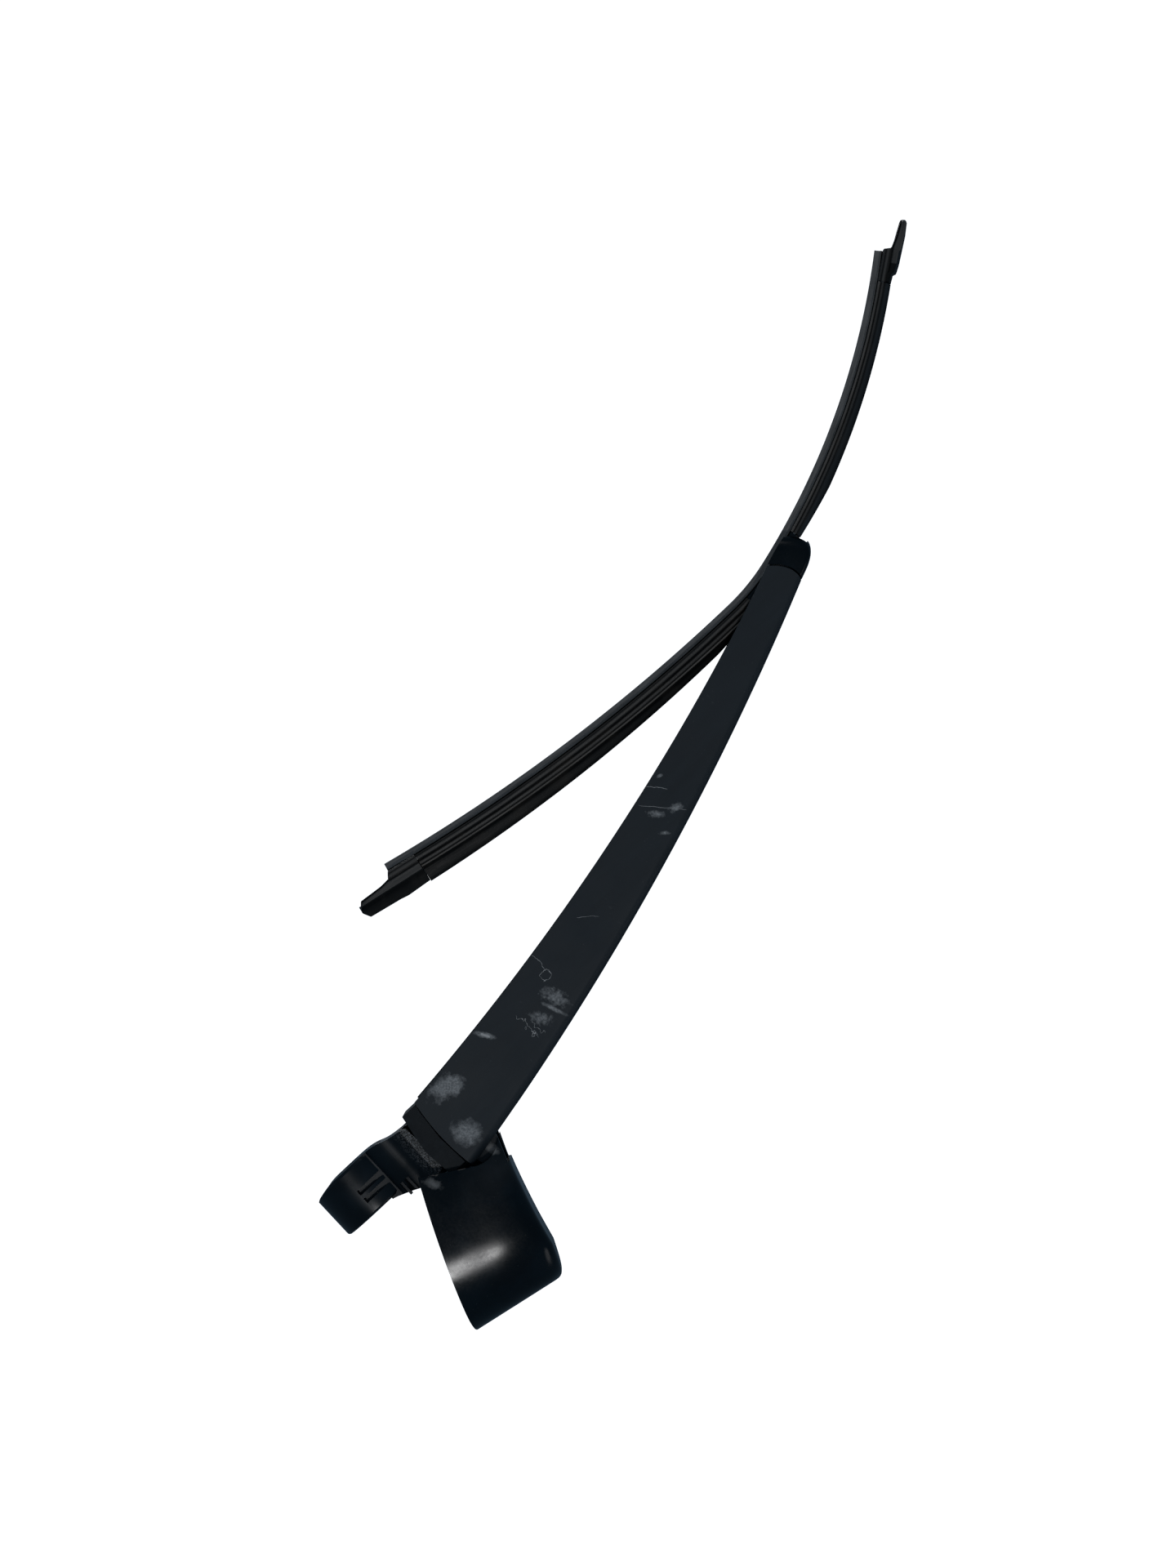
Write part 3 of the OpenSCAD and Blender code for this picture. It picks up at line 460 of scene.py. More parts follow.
def armRings():
    # depth falls as (1 - f)^taper and half width as f^0.85; the walls' middle lines bow
    # by bow (1 - (2 h / depth - 1)^2)
    size = armSize
    s = np.linspace(0, size["length"], size["stations"])
    f = s / size["length"]
    x, z, angle, lean = armLine(s)
    high = size["tipDepth"] + (size["depth"] - size["tipDepth"]) * (1 - f) ** size["taper"]
    back = (size["depth"] + (size["tipDepth"] - size["depth"]) * f) / 2
    half = size["half"] + (size["tipHalf"] - size["half"]) * f ** 0.85
    radius = size["round"] * (1 - 0.25 * f)
    bow = -size["rearBow"] * np.clip(1 - 6 * f, 0, None) + size["tipBow"] * np.clip(6 * f - 5, 0, None)
    wall = size["wall"]
    outY, outH = archSection(half, high, radius)
    inY, inH = archSection(half - wall, high - wall, np.maximum(radius - wall, 0.6))
    y = np.concatenate([outY, inY[:, ::-1]], axis=1)
    h = np.concatenate([outH, inH[:, ::-1]], axis=1)
    rise = (back - high)[:, None] + h
    px = x[:, None] + np.sin(lean)[:, None] * rise + bow[:, None] * (1 - (2 * h / high[:, None] - 1) ** 2)
    pz = z[:, None] + np.cos(lean)[:, None] * rise
    return np.stack([px, y, pz], axis=-1)


def circleOutline(centre, radius, count=48):
    angle = np.linspace(0, 2 * np.pi, count, endpoint=False)
    return np.column_stack([centre[0] + radius * np.cos(angle), centre[1] + radius * np.sin(angle)])


def arcOutline(centre, radius, start, end, count=24):
    angle = np.radians(np.linspace(start, end, count))
    return np.column_stack([centre[0] + radius * np.cos(angle), centre[1] + radius * np.sin(angle)])


springSize = {"reach": 90.0, "from": 20.0, "endGap": 9.0, "radius": 4.35, "wire": 0.85, "turns": 26,
              "slope": 5.7, "pin": 1.5, "play": 0.05, "loopShare": 0.83}
springSlope = math.radians(springSize["slope"])
springPin = (linkPin[0] + springSize["reach"] * math.cos(springSlope),
             linkPin[1] - springSize["reach"] * math.sin(springSlope))

# two slots in the roof let the cap's lugs swing; the tongue and two pairs of bosses hold the pins
lugSlot = arcOutline(hinge, 20, 5.8, 174.2, 40)
tongueArc = arcOutline(hinge, 5.1, 118, 46, 14)
tongue = np.concatenate([[(hinge[0] + 6, hinge[1] + 5.6), (hinge[0] - 11.2, hinge[1] + 7.0),
                          (hinge[0] - 11.2, hinge[1] + 5.4)], tongueArc, [(hinge[0] + 6, hinge[1] + 1.8)]])
bosses = []
for side in (-1, 1):
    low, high = sorted((side * 12.2, side * 14.6))
    bosses.append(turning(hinge, [(2.5, low), (4.6, low), (4.6, high), (2.5, high)]))
    low, high = sorted((side * 8.8, side * 11.2))
    bosses.append(turning(springPin, [(1.5, low), (3.4, low), (3.4, high), (1.5, high)]))
armShell = cutShape(loft(armRings(), "se"), prism(lugSlot, 9.4, 12.2), prism(lugSlot, -12.2, -9.4))
makePiece("armShell", "arm_body", ["arm_shell"], looks["arm"],
          [armShell, prism(tongue, -9.4, 9.4)] + bosses, smooth=40)


# Tip hood. The arm's section is carried on along a short round nose.
tipSize = {"length": 12.4, "wall": 1.5, "half": 8.0, "depth": 12.8, "bow": 2.2, "gap": 0.6,
           "blunt": 6.0, "slope": -22.16}


def tipRings():
    # half width falls as the square root of 1 - f^blunt, so the nose closes in a round edge
    size = tipSize
    f = np.sin(np.linspace(0, np.pi / 2, 40))
    x, z, angle, lean = armLine(armSize["length"])
    run, up = (math.cos(angle), math.sin(angle)), (math.sin(lean), math.cos(lean))
    both = []
    for off in (0.0, size["wall"]):
        reach = size["gap"] + (size["length"] - off) * f
        high = size["depth"] * (1 - 0.3 * f ** 3) - off
        half = (size["half"] - off) * np.sqrt(np.clip(1 - f ** size["blunt"], 0, 1))
        y, h = archSection(half, high, np.minimum(2.4 - 0.5 * off, half * 0.7), 10, 9, 6)
        rise = (-size["depth"] * (0.5 - 0.1 * f ** 2))[:, None] + h
        bow = (size["bow"] * (1 - 0.3 * f))[:, None] * (1 - (2 * h / high[:, None] - 1) ** 2)
        both.append(np.stack([x + run[0] * reach[:, None] + up[0] * rise + bow, y,
                              z + run[1] * reach[:, None] + up[1] * rise], axis=-1))
    return np.concatenate([both[0], both[1][:, ::-1]], axis=1)


# the hood is open below, where the blade passes: points along and square to the arm's end
cosEnd, sinEnd = math.cos(math.radians(tipSize["slope"])), math.sin(math.radians(tipSize["slope"]))
bladeSlot = [(bladeAt[0] + x * cosEnd - z * sinEnd, bladeAt[1] + x * sinEnd + z * cosEnd)
             for x, z in [(-20, -14), (-20, -2.6), (0, -2.6), (14, 1.2), (24, 3.8), (24, -14)]]
tipHood = cutShape(loft(tipRings(), "s"), prism(bladeSlot, -5.6, 5.6))
makePiece("tipHood", "arm_body", ["tip_cap"], looks["gloss"], [tipHood], smooth=40)


# Nut cap. It is shaped shut, from the hinge as its origin, and then swung open.
capSize = {"open": 66.4, "length": 32.0, "nose": 26.0, "half": 17.4, "wall": 1.8, "high": 10.7,
           "rise": 4.4, "low": 20.6, "belly": 0.8, "tipRound": 1.8, "round": 5.0, "crown": 1.6,
           "roofFront": -12.6, "roofHalf": 15.55, "lug": 4.6, "lugBore": 2.55}


def swung(points):
    # from the closed cap's own x and z about the hinge to the open place
    turn = math.radians(capSize["open"])
    x, y, z = points[..., 0], points[..., 1], points[..., 2]
    return np.stack([hinge[0] + x * math.cos(turn) + z * math.sin(turn), y,
                     hinge[1] - x * math.sin(turn) + z * math.cos(turn)], axis=-1)


def capRings():
    # f runs 0 to 1 along the straight part and 1 to 2 round the nose, where the half width falls
    # as cos(turn)^0.75; the front edge keeps a circle about the hinge clear
    size = capSize
    f = np.concatenate([np.linspace(0, 1, 26)[:-1], 1 + np.linspace(0, 1, 40)])
    past = np.clip(f - 1, 0, 1)
    turn = past * np.pi / 2
    both = []
    for off in (0.0, size["wall"]):
        x = np.where(f < 1, -2 - size["length"] * f, -2 - size["length"] - size["nose"] * np.sin(turn))
        half = (size["half"] - off) * np.cos(turn) ** 0.75
        half[-1] = 0.0
        top = size["high"] + size["rise"] * np.clip((-x - 10) / 36, 0, 1) ** 1.4
        top = top * (1 - 0.22 * past ** 6) - off
        low = -size["low"] - size["belly"] * np.clip(1 - ((x + 32) / 26) ** 2, 0, None)
        low = low + size["tipRound"] * past ** 6
        y, h = archSection(half, top - low, np.minimum(size["round"] - 0.6 * off, 0.8 * half), 16, 10, 10)
        z = low[:, None] + h
        if off == 0:  # the sides swell a little between hinge and nose, and between rim and roof
            lengthwise = np.clip(1 - (np.clip(x + 34, 0, None) / 30) ** 2, 0, 1)[:, None]
            upwards = 1 - (np.clip(z + 5, 0, 15.5) / 15.5) ** 2
            y = y * (1 + size["crown"] / size["half"] * lengthwise * upwards)
        x = x[:, None] + np.sin(turn)[:, None] * (off + 0.23 * z)
        edge = np.where(z < 0, -7.4 - 2.8 * (z + size["low"]) / size["low"],
                        -np.sqrt(np.clip(10.2 ** 2 - z ** 2, 4, None)))
        x = np.minimum(x, np.where(f[:, None] == 0, edge, edge - 0.01 * f[:, None]))
        both.append(np.stack([x, y, z], axis=-1))
    return np.concatenate([both[0], both[1][:, ::-1]], axis=1)


def lugOutline():
    rounding = arcOutline((0, 0), capSize["lug"], 40, -130, 30)
    return np.concatenate([rounding, [(-17.5, 6.5), (-20, 9.9), (-11, 9.7), (-3, 9.3), (-0.4, 8.2)]])


def capShape():
    # the roof ends short of the hinge, so that the arm can lift while the cap is open
    front, reach = capSize["roofFront"], capSize["roofHalf"]
    opening = prism([(front, 3), (10, 3), (10, 30), (front, 30)], -reach, reach)
    parts = [cutShape(loft(capRings(), "s"), opening)]
    for side in (1, -1):
        bore = prism(circleOutline((0, 0), capSize["lugBore"]), *sorted((side * 9, side * 13)))
        parts.append(cutShape(prism(lugOutline(), *sorted((side * 9.6, side * 11.8))), bore))
    points, faces = joinShapes(parts)
    return swung(points), faces


makePiece("nutCap", "cap_body", ["cap"], looks["capGloss"], [capShape()], smooth=40)


# Blade. Sections run along three arcs that meet with one tangent; s is 0 at the blade pin.
bladeSize = {"outer": 271.0, "middle": 80.0, "inner": 640.0, "middleLength": 20.0, "tilt": 15.0, "pin": 5.0,
             "from": -117.0, "to": 170.0}


def bladePoint(s, up, across):
    # (-(radius + up) sin turn, across, (radius + up) cos turn) about the arc's centre, then tilted
    size = bladeSize
    middleTurn = size["middleLength"] / size["middle"]
    radius = np.where(s < size["middleLength"], size["middle"], size["inner"])
    radius = np.where(s < 0, size["outer"], radius)
    inner = s >= size["middleLength"]
    turn = np.where(inner, middleTurn + (s - size["middleLength"]) / size["inner"], s / radius)
    wider = size["inner"] - size["middle"]
    centreX = np.where(inner, wider * math.sin(middleTurn), 0)
    centreZ = np.where(inner, -size["middle"] - wider * math.cos(middleTurn), -radius)
    x = centreX - (radius + up) * np.sin(turn)
    z = centreZ + (radius + up) * np.cos(turn) - size["pin"]
    return onBlade(np.stack([x, across, z], axis=-1))


def onBlade(points):
    tilt = math.radians(bladeSize["tilt"])
    x, y, z = points[..., 0], points[..., 1], points[..., 2]
    return np.stack([bladeAt[0] + x * math.cos(tilt) + z * math.sin(tilt), y,
                     bladeAt[1] - x * math.sin(tilt) + z * math.cos(tilt)], axis=-1)


def smoothLine(control, per=5):
    # Catmull-Rom through the control points, for all stations at once: (stations, points, columns)
    padded = np.concatenate([2 * control[:, :1] - control[:, 1:2], control,
                             2 * control[:, -1:] - control[:, -2:-1]], axis=1)
    t = (np.arange(per) / per)[None, None, :, None]
    a, b, c, d = (padded[:, k:k + control.shape[1] - 1, None, :] for k in range(4))
    square, cube = 2 * a - 5 * b + 4 * c - d, 3 * b - a - 3 * c + d
    line = 0.5 * (2 * b + (c - a) * t + square * t ** 2 + cube * t ** 3)
    return np.concatenate([line.reshape(len(control), -1, control.shape[-1]), control[:, -1:]], axis=1)


def bladeMarks(s, rise, wearAndLitFacet):
    # what bladeMaterial reads from the mesh
    return {"rise": rise.astype(np.float32), "wearAndLitFacet": wearAndLitFacet.astype(np.float32),
            "along": (s + 0 * rise).astype(np.float32)}


def bladePiece(name, node, material, stations, halfSection, inside=None):
    # halfSection: (stations, points, 3) of rise, place across and wearAndLitFacet, from the lip up to the
    # crown
    flip = np.array([1, -1, 1])
    ring = [halfSection, halfSection[:, ::-1] * flip]
    if inside is not None:
        ring += [inside * flip, inside[:, ::-1]]
    rise, across, wearAndLitFacet = np.moveaxis(np.concatenate(ring, axis=1), -1, 0)
    s = stations[:, None]
    shape = loft(bladePoint(s + 0 * rise, rise, across), "se")
    makePiece(name, "blade_body", [node], material, [shape], extra=bladeMarks(s, rise, wearAndLitFacet))


def stationRows(stations, points):
    # the same section at every station; a value may change from station to station
    column = np.zeros(len(stations))
    return np.stack([np.stack([value + column for value in point], axis=-1) for point in points], axis=1)


# rise above the rails, place across, wearAndLitFacet
rubberSection = [(-4.6, 0.3, 0.9), (-4.4, 0.45, 1), (-2.8, 0.8, 1), (-2.6, 1.5, 0.95), (-2.42, 1.7, 0.9),
                 (-2.2, 1.7, 0.8), (-2.1, 1.5, 0.5), (-1.9, 0.75, 0), (-1.55, 0.75, 0),
                 (-1.52, 3.35, 0.1), (-1.42, 3.45, 0.2), (-1.08, 3.45, 0.2), (-0.98, 3.35, 0.2),
                 (-0.95, 1.2, 0), (0.03, 1.2, 0), (0.06, 3.1, 0.2), (0.2, 3.2, 0.2), (0.6, 3.1, 0.2),
                 (0.8, 2.8, 0.2)]
spoilerHook = [(-1.75, 3.6, 0), (-1.03, 3.6, 0), (-1.03, 4.48, 0), (0.13, 4.48, 0), (0.13, 3.4, 0),
               (1.05, 3.4, 0), (1.05, 0.65, 0)]
outerSection = [(-2.0, 4.8, 0.5), (-1.8, 5.15, 0.8), (-1.45, 5.2, 0.8), (-1.2, 5.1, 0.4),
                (-0.95, 4.75, 0.05), (-0.65, 5.05, 0.2), (-0.3, 5.15, 0.35), (0.05, 5.05, 0.2),
                (0.35, 4.6, 0.02), (0.65, 4.45, 0.1), (1.2, 3.6, 0.2)]
innerSection = [(-1.75, 4.6, 0.1), (-1.5, 4.72, 0.05), (-1.15, 4.75, 0.05), (-0.85, 5.15, 0.5),
                (-0.5, 5.2, 0.55), (-0.15, 5.15, 0.4), (0.25, 4.9, 0.05), (0.75, 4.4, 0),
                (1.1, 4.75, 0.3), (1.6, 4.7, 0.4), (2.0, 4.5, 0.2), (2.25, 4.05, 0), (2.6, 4.2, 1),
                (2.9, 4.1, 1), (3.15, 3.4, 0), (3.7, 2.8, 0), (4.2, 2.3, 0.03)]
# crown: high at the first station and more high at the last, by a power; near the blade pin it dips
spoilerSize = {"near": 14.0, "crown": 0.5, "dip": 1.2, "dipLength": 20.0}
outerSpoiler = {"from": -106.0, "to": -14.0, "stations": 80, "high": 2.7, "more": 0.6, "span": 92.0,
                "power": 1.0}
innerSpoiler = {"from": 14.0, "to": 159.0, "stations": 110, "high": 4.8, "more": 4.2, "span": 156.0,
                "power": 0.85}


def spoilerPiece(name, node, section, size):
    # section up to the flank, then its upper part to the narrow crown at the changing height
    s = np.linspace(size["from"], size["to"], size["stations"])
    high = size["high"] + size["more"] * ((s - size["from"]) / size["span"]) ** size["power"]
    nearPin = 1 - (np.abs(s) - spoilerSize["near"]) / spoilerSize["dipLength"]
    high = high - spoilerSize["dip"] * np.clip(nearPin, 0, 1)
    top = [(high * 0.7 + section[-1][0] * 0.3 - 0.1, 1.6, 0.05), (high - 0.12, 0.8, 0.05),
           (high, spoilerSize["crown"], 0.3)]
    bladePiece(name, node, looks["spoiler"], s,
               smoothLine(stationRows(s, section + top), 4), stationRows(s, spoilerHook))


s = np.linspace(bladeSize["from"], bladeSize["to"], 190)
bladePiece("wiperRubber", "wiper_rubber", looks["rubber"], s, stationRows(s, rubberSection))
spoilerPiece("spoilerOuter", "spoiler_outer", outerSection, outerSpoiler)
spoilerPiece("spoilerInner", "spoiler_inner", innerSection, innerSpoiler)


# at: where the cap starts on the blade; away: its direction along s; turn: degrees off the blade;
# bottom and top lines are (distance along the cap, rise)
outerCap = {"at": -106.3, "away": 1, "turn": 1, "length": 22.6, "half": 5.8, "eaves": 3.9, "seam": 7.0,
            "bottom": [(0, -2.1), (11.2, -2.1), (11.8, 0.5), (15.5, 1.2), (22, 1.8), (22.6, 2.7)],
            "top": [(0, 2.7), (3, 2.9), (3.6, 3.9), (7, 4.3), (17, 4.6), (21.8, 4.3), (22.6, 3.5)]}
innerCap = {"at": 159.3, "away": -1, "turn": -1, "length": 25.8, "half": 5.8, "eaves": 3.5, "seam": 0.0,
            "bottom": [(0, -2.1), (10.7, -2.1), (12, 0.3), (15.5, 1.1), (24, 1.8), (25.8, 4.4)],
            "top": [(0, 8.3), (9, 8.8), (12, 8.5), (24, 8.2), (25.8, 5.8)]}
# lower part of both: rise, share of the half width, wearAndLitFacet
capFoot = [(-2.0, 0.75, 0.3), (-1.6, 0.82, 0.3), (-1.1, 0.8, 0), (-0.5, 0.84, 0.5), (0.1, 0.83, 0.3),
           (0.8, 0.8, 0)]


def endCapSection(cap, x):
    # stripes of the foot, an upright side, then a roof to the ridge; the half width is
    # half sqrt(1 - (x / length)^12)
    bottom, top = (np.interp(x, *np.transpose(cap[key])) for key in ("bottom", "top"))
    wide = cap["half"] * np.sqrt(np.clip(1 - (x / cap["length"]) ** 12, 0.03, 1))
    eaves = np.minimum(cap["eaves"], bottom + 0.8 * (top - bottom))
    seam = np.clip((x - cap["seam"]) * 4 + 1, 0, 1)  # dark up to the seam
    foot = [(np.maximum(rise, bottom + 0.1 * k), wide * share, wearAndLitFacet * (rise > bottom))
            for k, (rise, share, wearAndLitFacet) in enumerate(capFoot)]
    # painted light: in the third column the upright side and its eaves edge are painted lighter than the
    # roof, as a lit facet
    return stationRows(x, [(bottom, 0.0 * x, 0)] + foot + [
        (np.maximum(1.3, bottom + 0.8), wide, 0.4 * seam), (bottom * 0.3 + eaves * 0.7, wide, 0.5 * seam),
        (eaves - 0.3, wide, 0.5 * seam), (eaves - 0.1, wide - 0.1, seam), (eaves + 0.2, wide - 0.6, 0.05),
        (eaves * 0.5 + top * 0.5, wide * 0.55, 0.05), (top - 0.2, 1.3, 0.1 * seam), (top, 0, 0.1 * seam)])


def endCap(name, node, cap):
    # straight on from the blade's end, with the rings closer together round the tip
    straight = np.linspace(0, 0.75, 30)[:-1]
    x = cap["length"] * np.concatenate([straight, 0.75 + 0.25 * np.sin(np.linspace(0, np.pi / 2, 26))])
    half = smoothLine(endCapSection(cap, x), 4)
    ring = np.concatenate([half, (half * [1, -1, 1])[:, -2:0:-1]], axis=1)
    rise, across, wearAndLitFacet = np.moveaxis(ring, -1, 0)
    middle = bladePoint(np.array([cap["at"], cap["at"] + 0.5]), np.zeros(2), np.zeros(2))
    along = (middle[0] - middle[1]) / np.linalg.norm(middle[0] - middle[1]) * cap["away"]
    turn = math.radians(cap["turn"])
    along = np.array([along[0] * math.cos(turn) - along[2] * math.sin(turn), 0,
                      along[0] * math.sin(turn) + along[2] * math.cos(turn)])
    up = np.array([-along[2], 0, along[0]]) * np.sign(along[0])
    points = middle[0] + along * x[:, None, None] + up * rise[..., None]
    points[..., 1] += across
    makePiece(name, "blade_body", [node], looks["endCap"], [loft(points, "f")],
              smooth=50, extra=bladeMarks(x[:, None], rise, wearAndLitFacet))


endCap("endCapOuter", "end_cap_outer", outerCap)
endCap("endCapInner", "end_cap_inner", innerCap)


# Spring. A close coil lies on the line from the link pin to the spring pin.
def springShape():
    # coil: (from + wire + length t, radius sin turn, radius cos turn), then a hook round its pin
    size = springSize
    t = np.linspace(0, 1, size["turns"] * 30)
    length = size["reach"] - size["endGap"] - size["from"]
    turn = t * size["turns"] * 2 * np.pi
    coil = np.stack([size["from"] + size["wire"] + length * t, size["radius"] * np.sin(turn),
                     size["radius"] * np.cos(turn)], axis=-1)
    loop = size["radius"] * size["loopShare"]
    a = np.linspace(0, 210, 30)[1:] + 30
    fade = np.clip(3 - a / 30, 0, None) * 1.05
    centre = size["reach"] - (loop - size["wire"] - size["pin"] - size["play"])
    hook = np.stack([centre + loop * np.sin(np.radians(a - 90)), 0.001 * a,
                     loop * np.cos(np.radians(a - 90)) + fade], axis=-1)
    path = np.concatenate([coil, hook])
    cosine, sine = math.cos(springSlope), math.sin(springSlope)
    path = np.stack([linkPin[0] + path[:, 0] * cosine + path[:, 2] * sine, path[:, 1],
                     linkPin[1] - path[:, 0] * sine + path[:, 2] * cosine], axis=-1)
    return wireAlong(path, size["wire"])


makePiece("tensionSpring", "spring_body", ["tension_spring"], looks["spring"],
          [springShape()])


# Head. The hub is turned about the spindle; a scooped neck and two ears carry the hinge.
headSize = {"hub": 15.0, "high": 15.5, "belly": 2.2, "rim": 1.1, "well": 11.2, "wellFrom": 7.8,
            "bore": 4.15, "seat": 5.6, "shoulder": 12.2, "waist": 9.2, "scoop": 9.0, "scoopAt": 16.0}


def turnedUp(profile, count=120):
    # a closed (radius, z) profile turned about an upright line
    radius, z = np.asarray(profile, float).T
    angle = np.linspace(0, 2 * np.pi, count, endpoint=False)[:, None]
    rings = np.stack([radius * np.cos(angle), radius * np.sin(angle), z + 0 * angle], axis=-1)
    return loft(rings, loop=True)


def rodUp(x, y, radius, low, high):
    circle = circleOutline((x, y), radius, 64)
    return loft(np.stack([np.column_stack([circle, np.full(64, z)]) for z in (low, high)]), "f")


def softOutline(points, per=4):
    return smoothLine(np.asarray(points, float)[None], per)[0]


def boxShape(x0, x1, y0, y1, z0, z1):
    return prism([(x0, z0), (x1, z0), (x1, z1), (x0, z1)], y0, y1)


# line of the hub's and the neck's underside, arched up where the motor's neck passes
belly = softOutline([(-15.2, 0.2), (-13, -0.9), (-10, -1.54), (-6.4, -2.15), (0, -2.2), (8, -2.15),
                     (13, -1.54), (18, 0), (25.4, 0.9)])


def hubShape():
    # rounded rim, nut well, bore and tapered seat, with two long pockets on each side
    size = headSize
    hub, high, rim, low = size["hub"], size["high"], size["rim"], -size["belly"]
    rimRound = [(hub - rim + rim * math.sin(a), high - rim + rim * math.cos(a))
                for a in np.linspace(np.pi / 2, 0, 7)]
    profile = [(size["bore"], 1.8), (size["seat"], low), (hub - 1.2, low), (hub, low + 1.0)] + rimRound
    profile += [(size["well"] + 0.3, high), (size["well"], high - 0.3), (size["well"], size["wellFrom"]),
                (size["bore"] + 0.4, size["wellFrom"]), (size["bore"], size["wellFrom"] - 0.4)]
    under = np.concatenate([belly, [(25.4, -9), (-15.2, -9)]])
    pockets = [boxShape(-1.5, 8.9, *sides, bottom, bottom + 2.0)
               for sides in ((-16.5, -12.0), (12.0, 16.5)) for bottom in (5.7, 9.1)]
    return cutShape(turnedUp(profile), prism(under, -17, 17), *pockets)


def neckShape():
    # side view of the neck, hollowed on both sides by upright round cuts
    size = headSize
    top = softOutline([(-2, 15.4), (6, 16.2), (12, 18.6), (15.5, 20.2), (19, 20.45), (23.6, 20.3)], 5)
    front = [(25.0, 1.6), (25.45, 6), (25.45, 17.5), (25.4, 19.0), (24.9, 19.9)]
    outline = np.concatenate([belly[belly[:, 0] > -8][:-1], front, top[::-1], [(-8, 15.4)]])
    scoops = [rodUp(size["scoopAt"], side * (size["waist"] + size["scoop"]), size["scoop"], -5, 30)
              for side in (-1, 1)]
    return cutShape(prism(outline, -size["shoulder"], size["shoulder"]), *scoops,
                    rodUp(0, 0, size["hub"] - 1.6, -6, 40), boxShape(-20, 0, -20, 20, -6, 40))


def earShape(side):
    # with the bores for bush and link pin
    earLine = np.concatenate([arcOutline(hinge, 4.7, 175, -12, 26), arcOutline(linkPin, 4.7, -18, -90, 14),
                              [(22, 0.6), (20, 10.5), (28, 10.2)]])
    return cutShape(prism(earLine, *sorted((side * 5.6, side * 9.2))),
                    prism(circleOutline(hinge, 3.35), -12, 12),
                    prism(circleOutline(linkPin, 1.5), -12, 12))


def ribShape(side, x):
    # small upright rib on the neck's side
    return boxShape(x - 0.45, x + 0.45, *sorted((side * 8.6, side * 11.2)), 14, 19.3)


web = prism([(18, 0.3), (26.4, 0.9), (26.4, 9.8), (24, 10.2), (18, 10.8)], -9.2, 9.2)
makePiece("headCasting", "head_body", ["head"], looks["cast"],
          [hubShape(), neckShape(), web] + [earShape(side) for side in (-1, 1)]
          + [ribShape(side, x) for side in (-1, 1) for x in (11.4, 14.0)], bevel=0.3, smooth=30)


# The other solids are shown as they are, with a look each.
cadLooks = {"hinge_bush_left": "bush", "hinge_bush_right": "bush", "hinge_pin": "pin",
            "link_pin": "pin", "hinge_collar": "collar", "spring_pin": "pin", "blade_adapter": "bush",
            "spring_link": "spring", "blade_pin": "pin", "blade_carrier": "gloss", "rail_left": "spring",
            "rail_right": "spring"}
for nodeName, lookName in cadLooks.items():
    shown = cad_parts[nodeName]
    shown.data.materials.clear()
    shown.data.materials.append(looks[lookName])
print("CAD nodes painted:", len(cadLooks))


# Camera and light, square to the part's side, with the picture turned so that the arm runs up.
view = {"x": 0.1511, "z": -0.0422, "distance": 1.6, "height": 0.5376, "side": 0.008}
right, up = (0.7314, 0.0, 0.6820), (0.6820, 0.0, -0.7314)
fov = 2 * math.atan(view["height"] / 2 / (view["distance"] - view["side"]))
lens = bpy.data.cameras.new("camera")
lens.sensor_width = 36.0
lens.lens = 18.0 / math.tan(fov / 2)
lens.clip_start, lens.clip_end = 0.05, 30.0
camera = bpy.data.objects.new("camera", lens)
camera.matrix_world = Matrix(((right[0], up[0], 0, view["x"]), (0, 0, 1, view["distance"]),
                              (right[2], up[2], 0, view["z"]), (0, 0, 0, 1)))
bpy.context.scene.collection.objects.link(camera)
bpy.context.scene.camera = camera

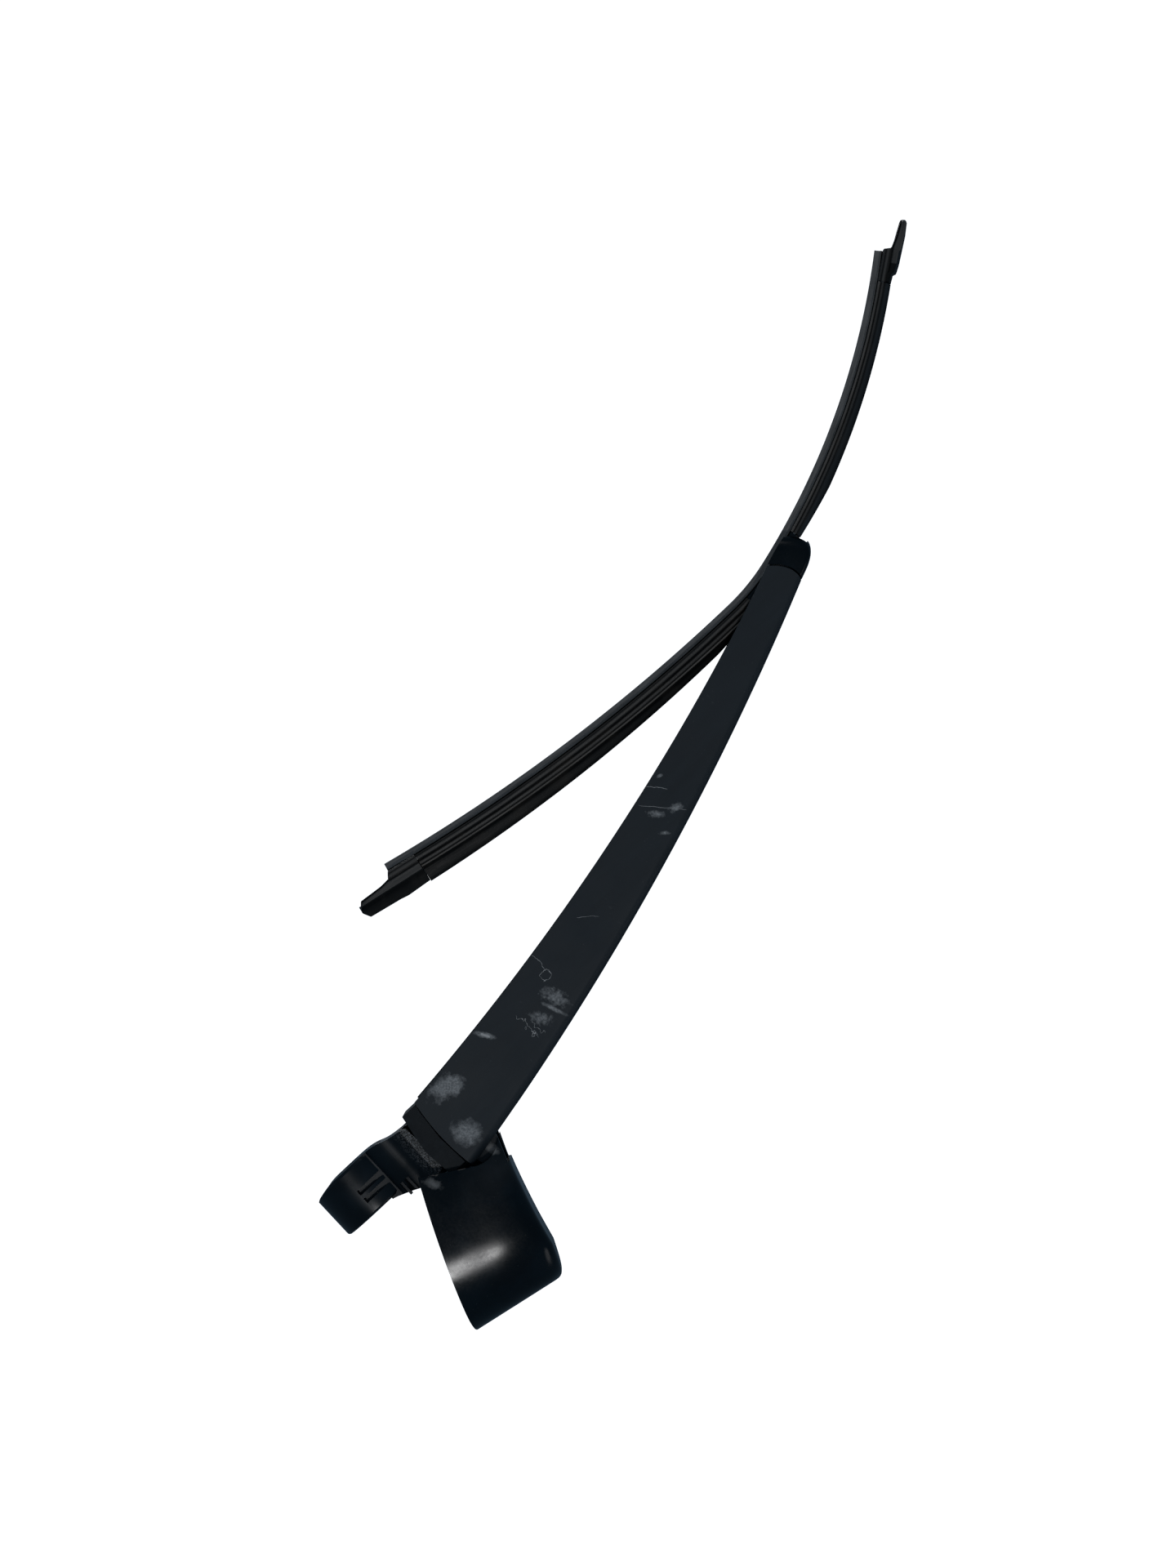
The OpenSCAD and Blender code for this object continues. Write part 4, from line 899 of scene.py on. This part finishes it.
lights = {
    "key": {"right": 0.084, "down": 0.784, "near": 1.9, "size": 0.30, "power": 5.5},
    "fill": {"right": -0.5, "down": -1.4, "near": 1.4, "size": 1.3, "power": 4.2},
    "rim": {"right": 1.6, "down": 0.9, "near": 0.7, "size": 0.9, "power": 1.5},
    "back": {"right": -0.3, "down": -1.2, "near": -1.7, "size": 1.2, "power": 12.0},
}
for name, light in lights.items():
    lamp = bpy.data.lights.new(name, "AREA")
    lamp.energy, lamp.size, lamp.shape = light["power"], light["size"], "DISK"
    place = bpy.data.objects.new(name, lamp)
    offset = [light["right"] * right[k] - light["down"] * up[k] for k in range(3)]
    spot = np.array([view["x"] + offset[0], light["near"], view["z"] + offset[2]])
    target = Vector((view["x"], 0, view["z"]))
    aim = (target - Vector(spot)).to_track_quat("-Z", "Y").to_matrix().to_4x4()
    place.matrix_world = Matrix.Translation(spot) @ aim
    bpy.context.scene.collection.objects.link(place)


def backdrop():
    # pale paper on all sides, 3 m away; its own glow keeps it white and it lights nothing
    material, tree, shader, coord = startMaterial("paper")
    grain = noise(tree, coord, 40, 3)
    tone = mixed(tree, grain, (0.93, 0.93, 0.93, 1), (0.97, 0.97, 0.97, 1))
    tree.links.new(tone, shader.inputs["Base Color"])
    tree.links.new(tone, shader.inputs["Emission Color"])
    shader.inputs["Emission Strength"].default_value = 1.05
    shader.inputs["Roughness"].default_value = 0.9
    corners = [(x, y, z) for x in (-3, 3) for y in (-3, 3) for z in (-3, 3)]
    sides = [(0, 1, 3, 2), (4, 6, 7, 5), (0, 4, 5, 1), (2, 3, 7, 6), (0, 2, 6, 4), (1, 5, 7, 3)]
    mesh = bpy.data.meshes.new("backdrop")
    mesh.from_pydata(corners, [], [side[::-1] for side in sides])
    mesh.materials.append(material)
    sheet = bpy.data.objects.new("backdrop", mesh)
    bpy.context.scene.collection.objects.link(sheet)
    sheet.visible_glossy = sheet.visible_diffuse = sheet.visible_shadow = False


backdrop()
world = bpy.data.worlds.new("room")
world.use_nodes = True
world.node_tree.nodes["Background"].inputs["Color"].default_value = (0.45, 0.72, 1.0, 1)
world.node_tree.nodes["Background"].inputs["Strength"].default_value = 0.1
bpy.context.scene.world = world
bpy.context.scene.view_settings.view_transform = "Standard"
print("camera, lights and backdrop placed")
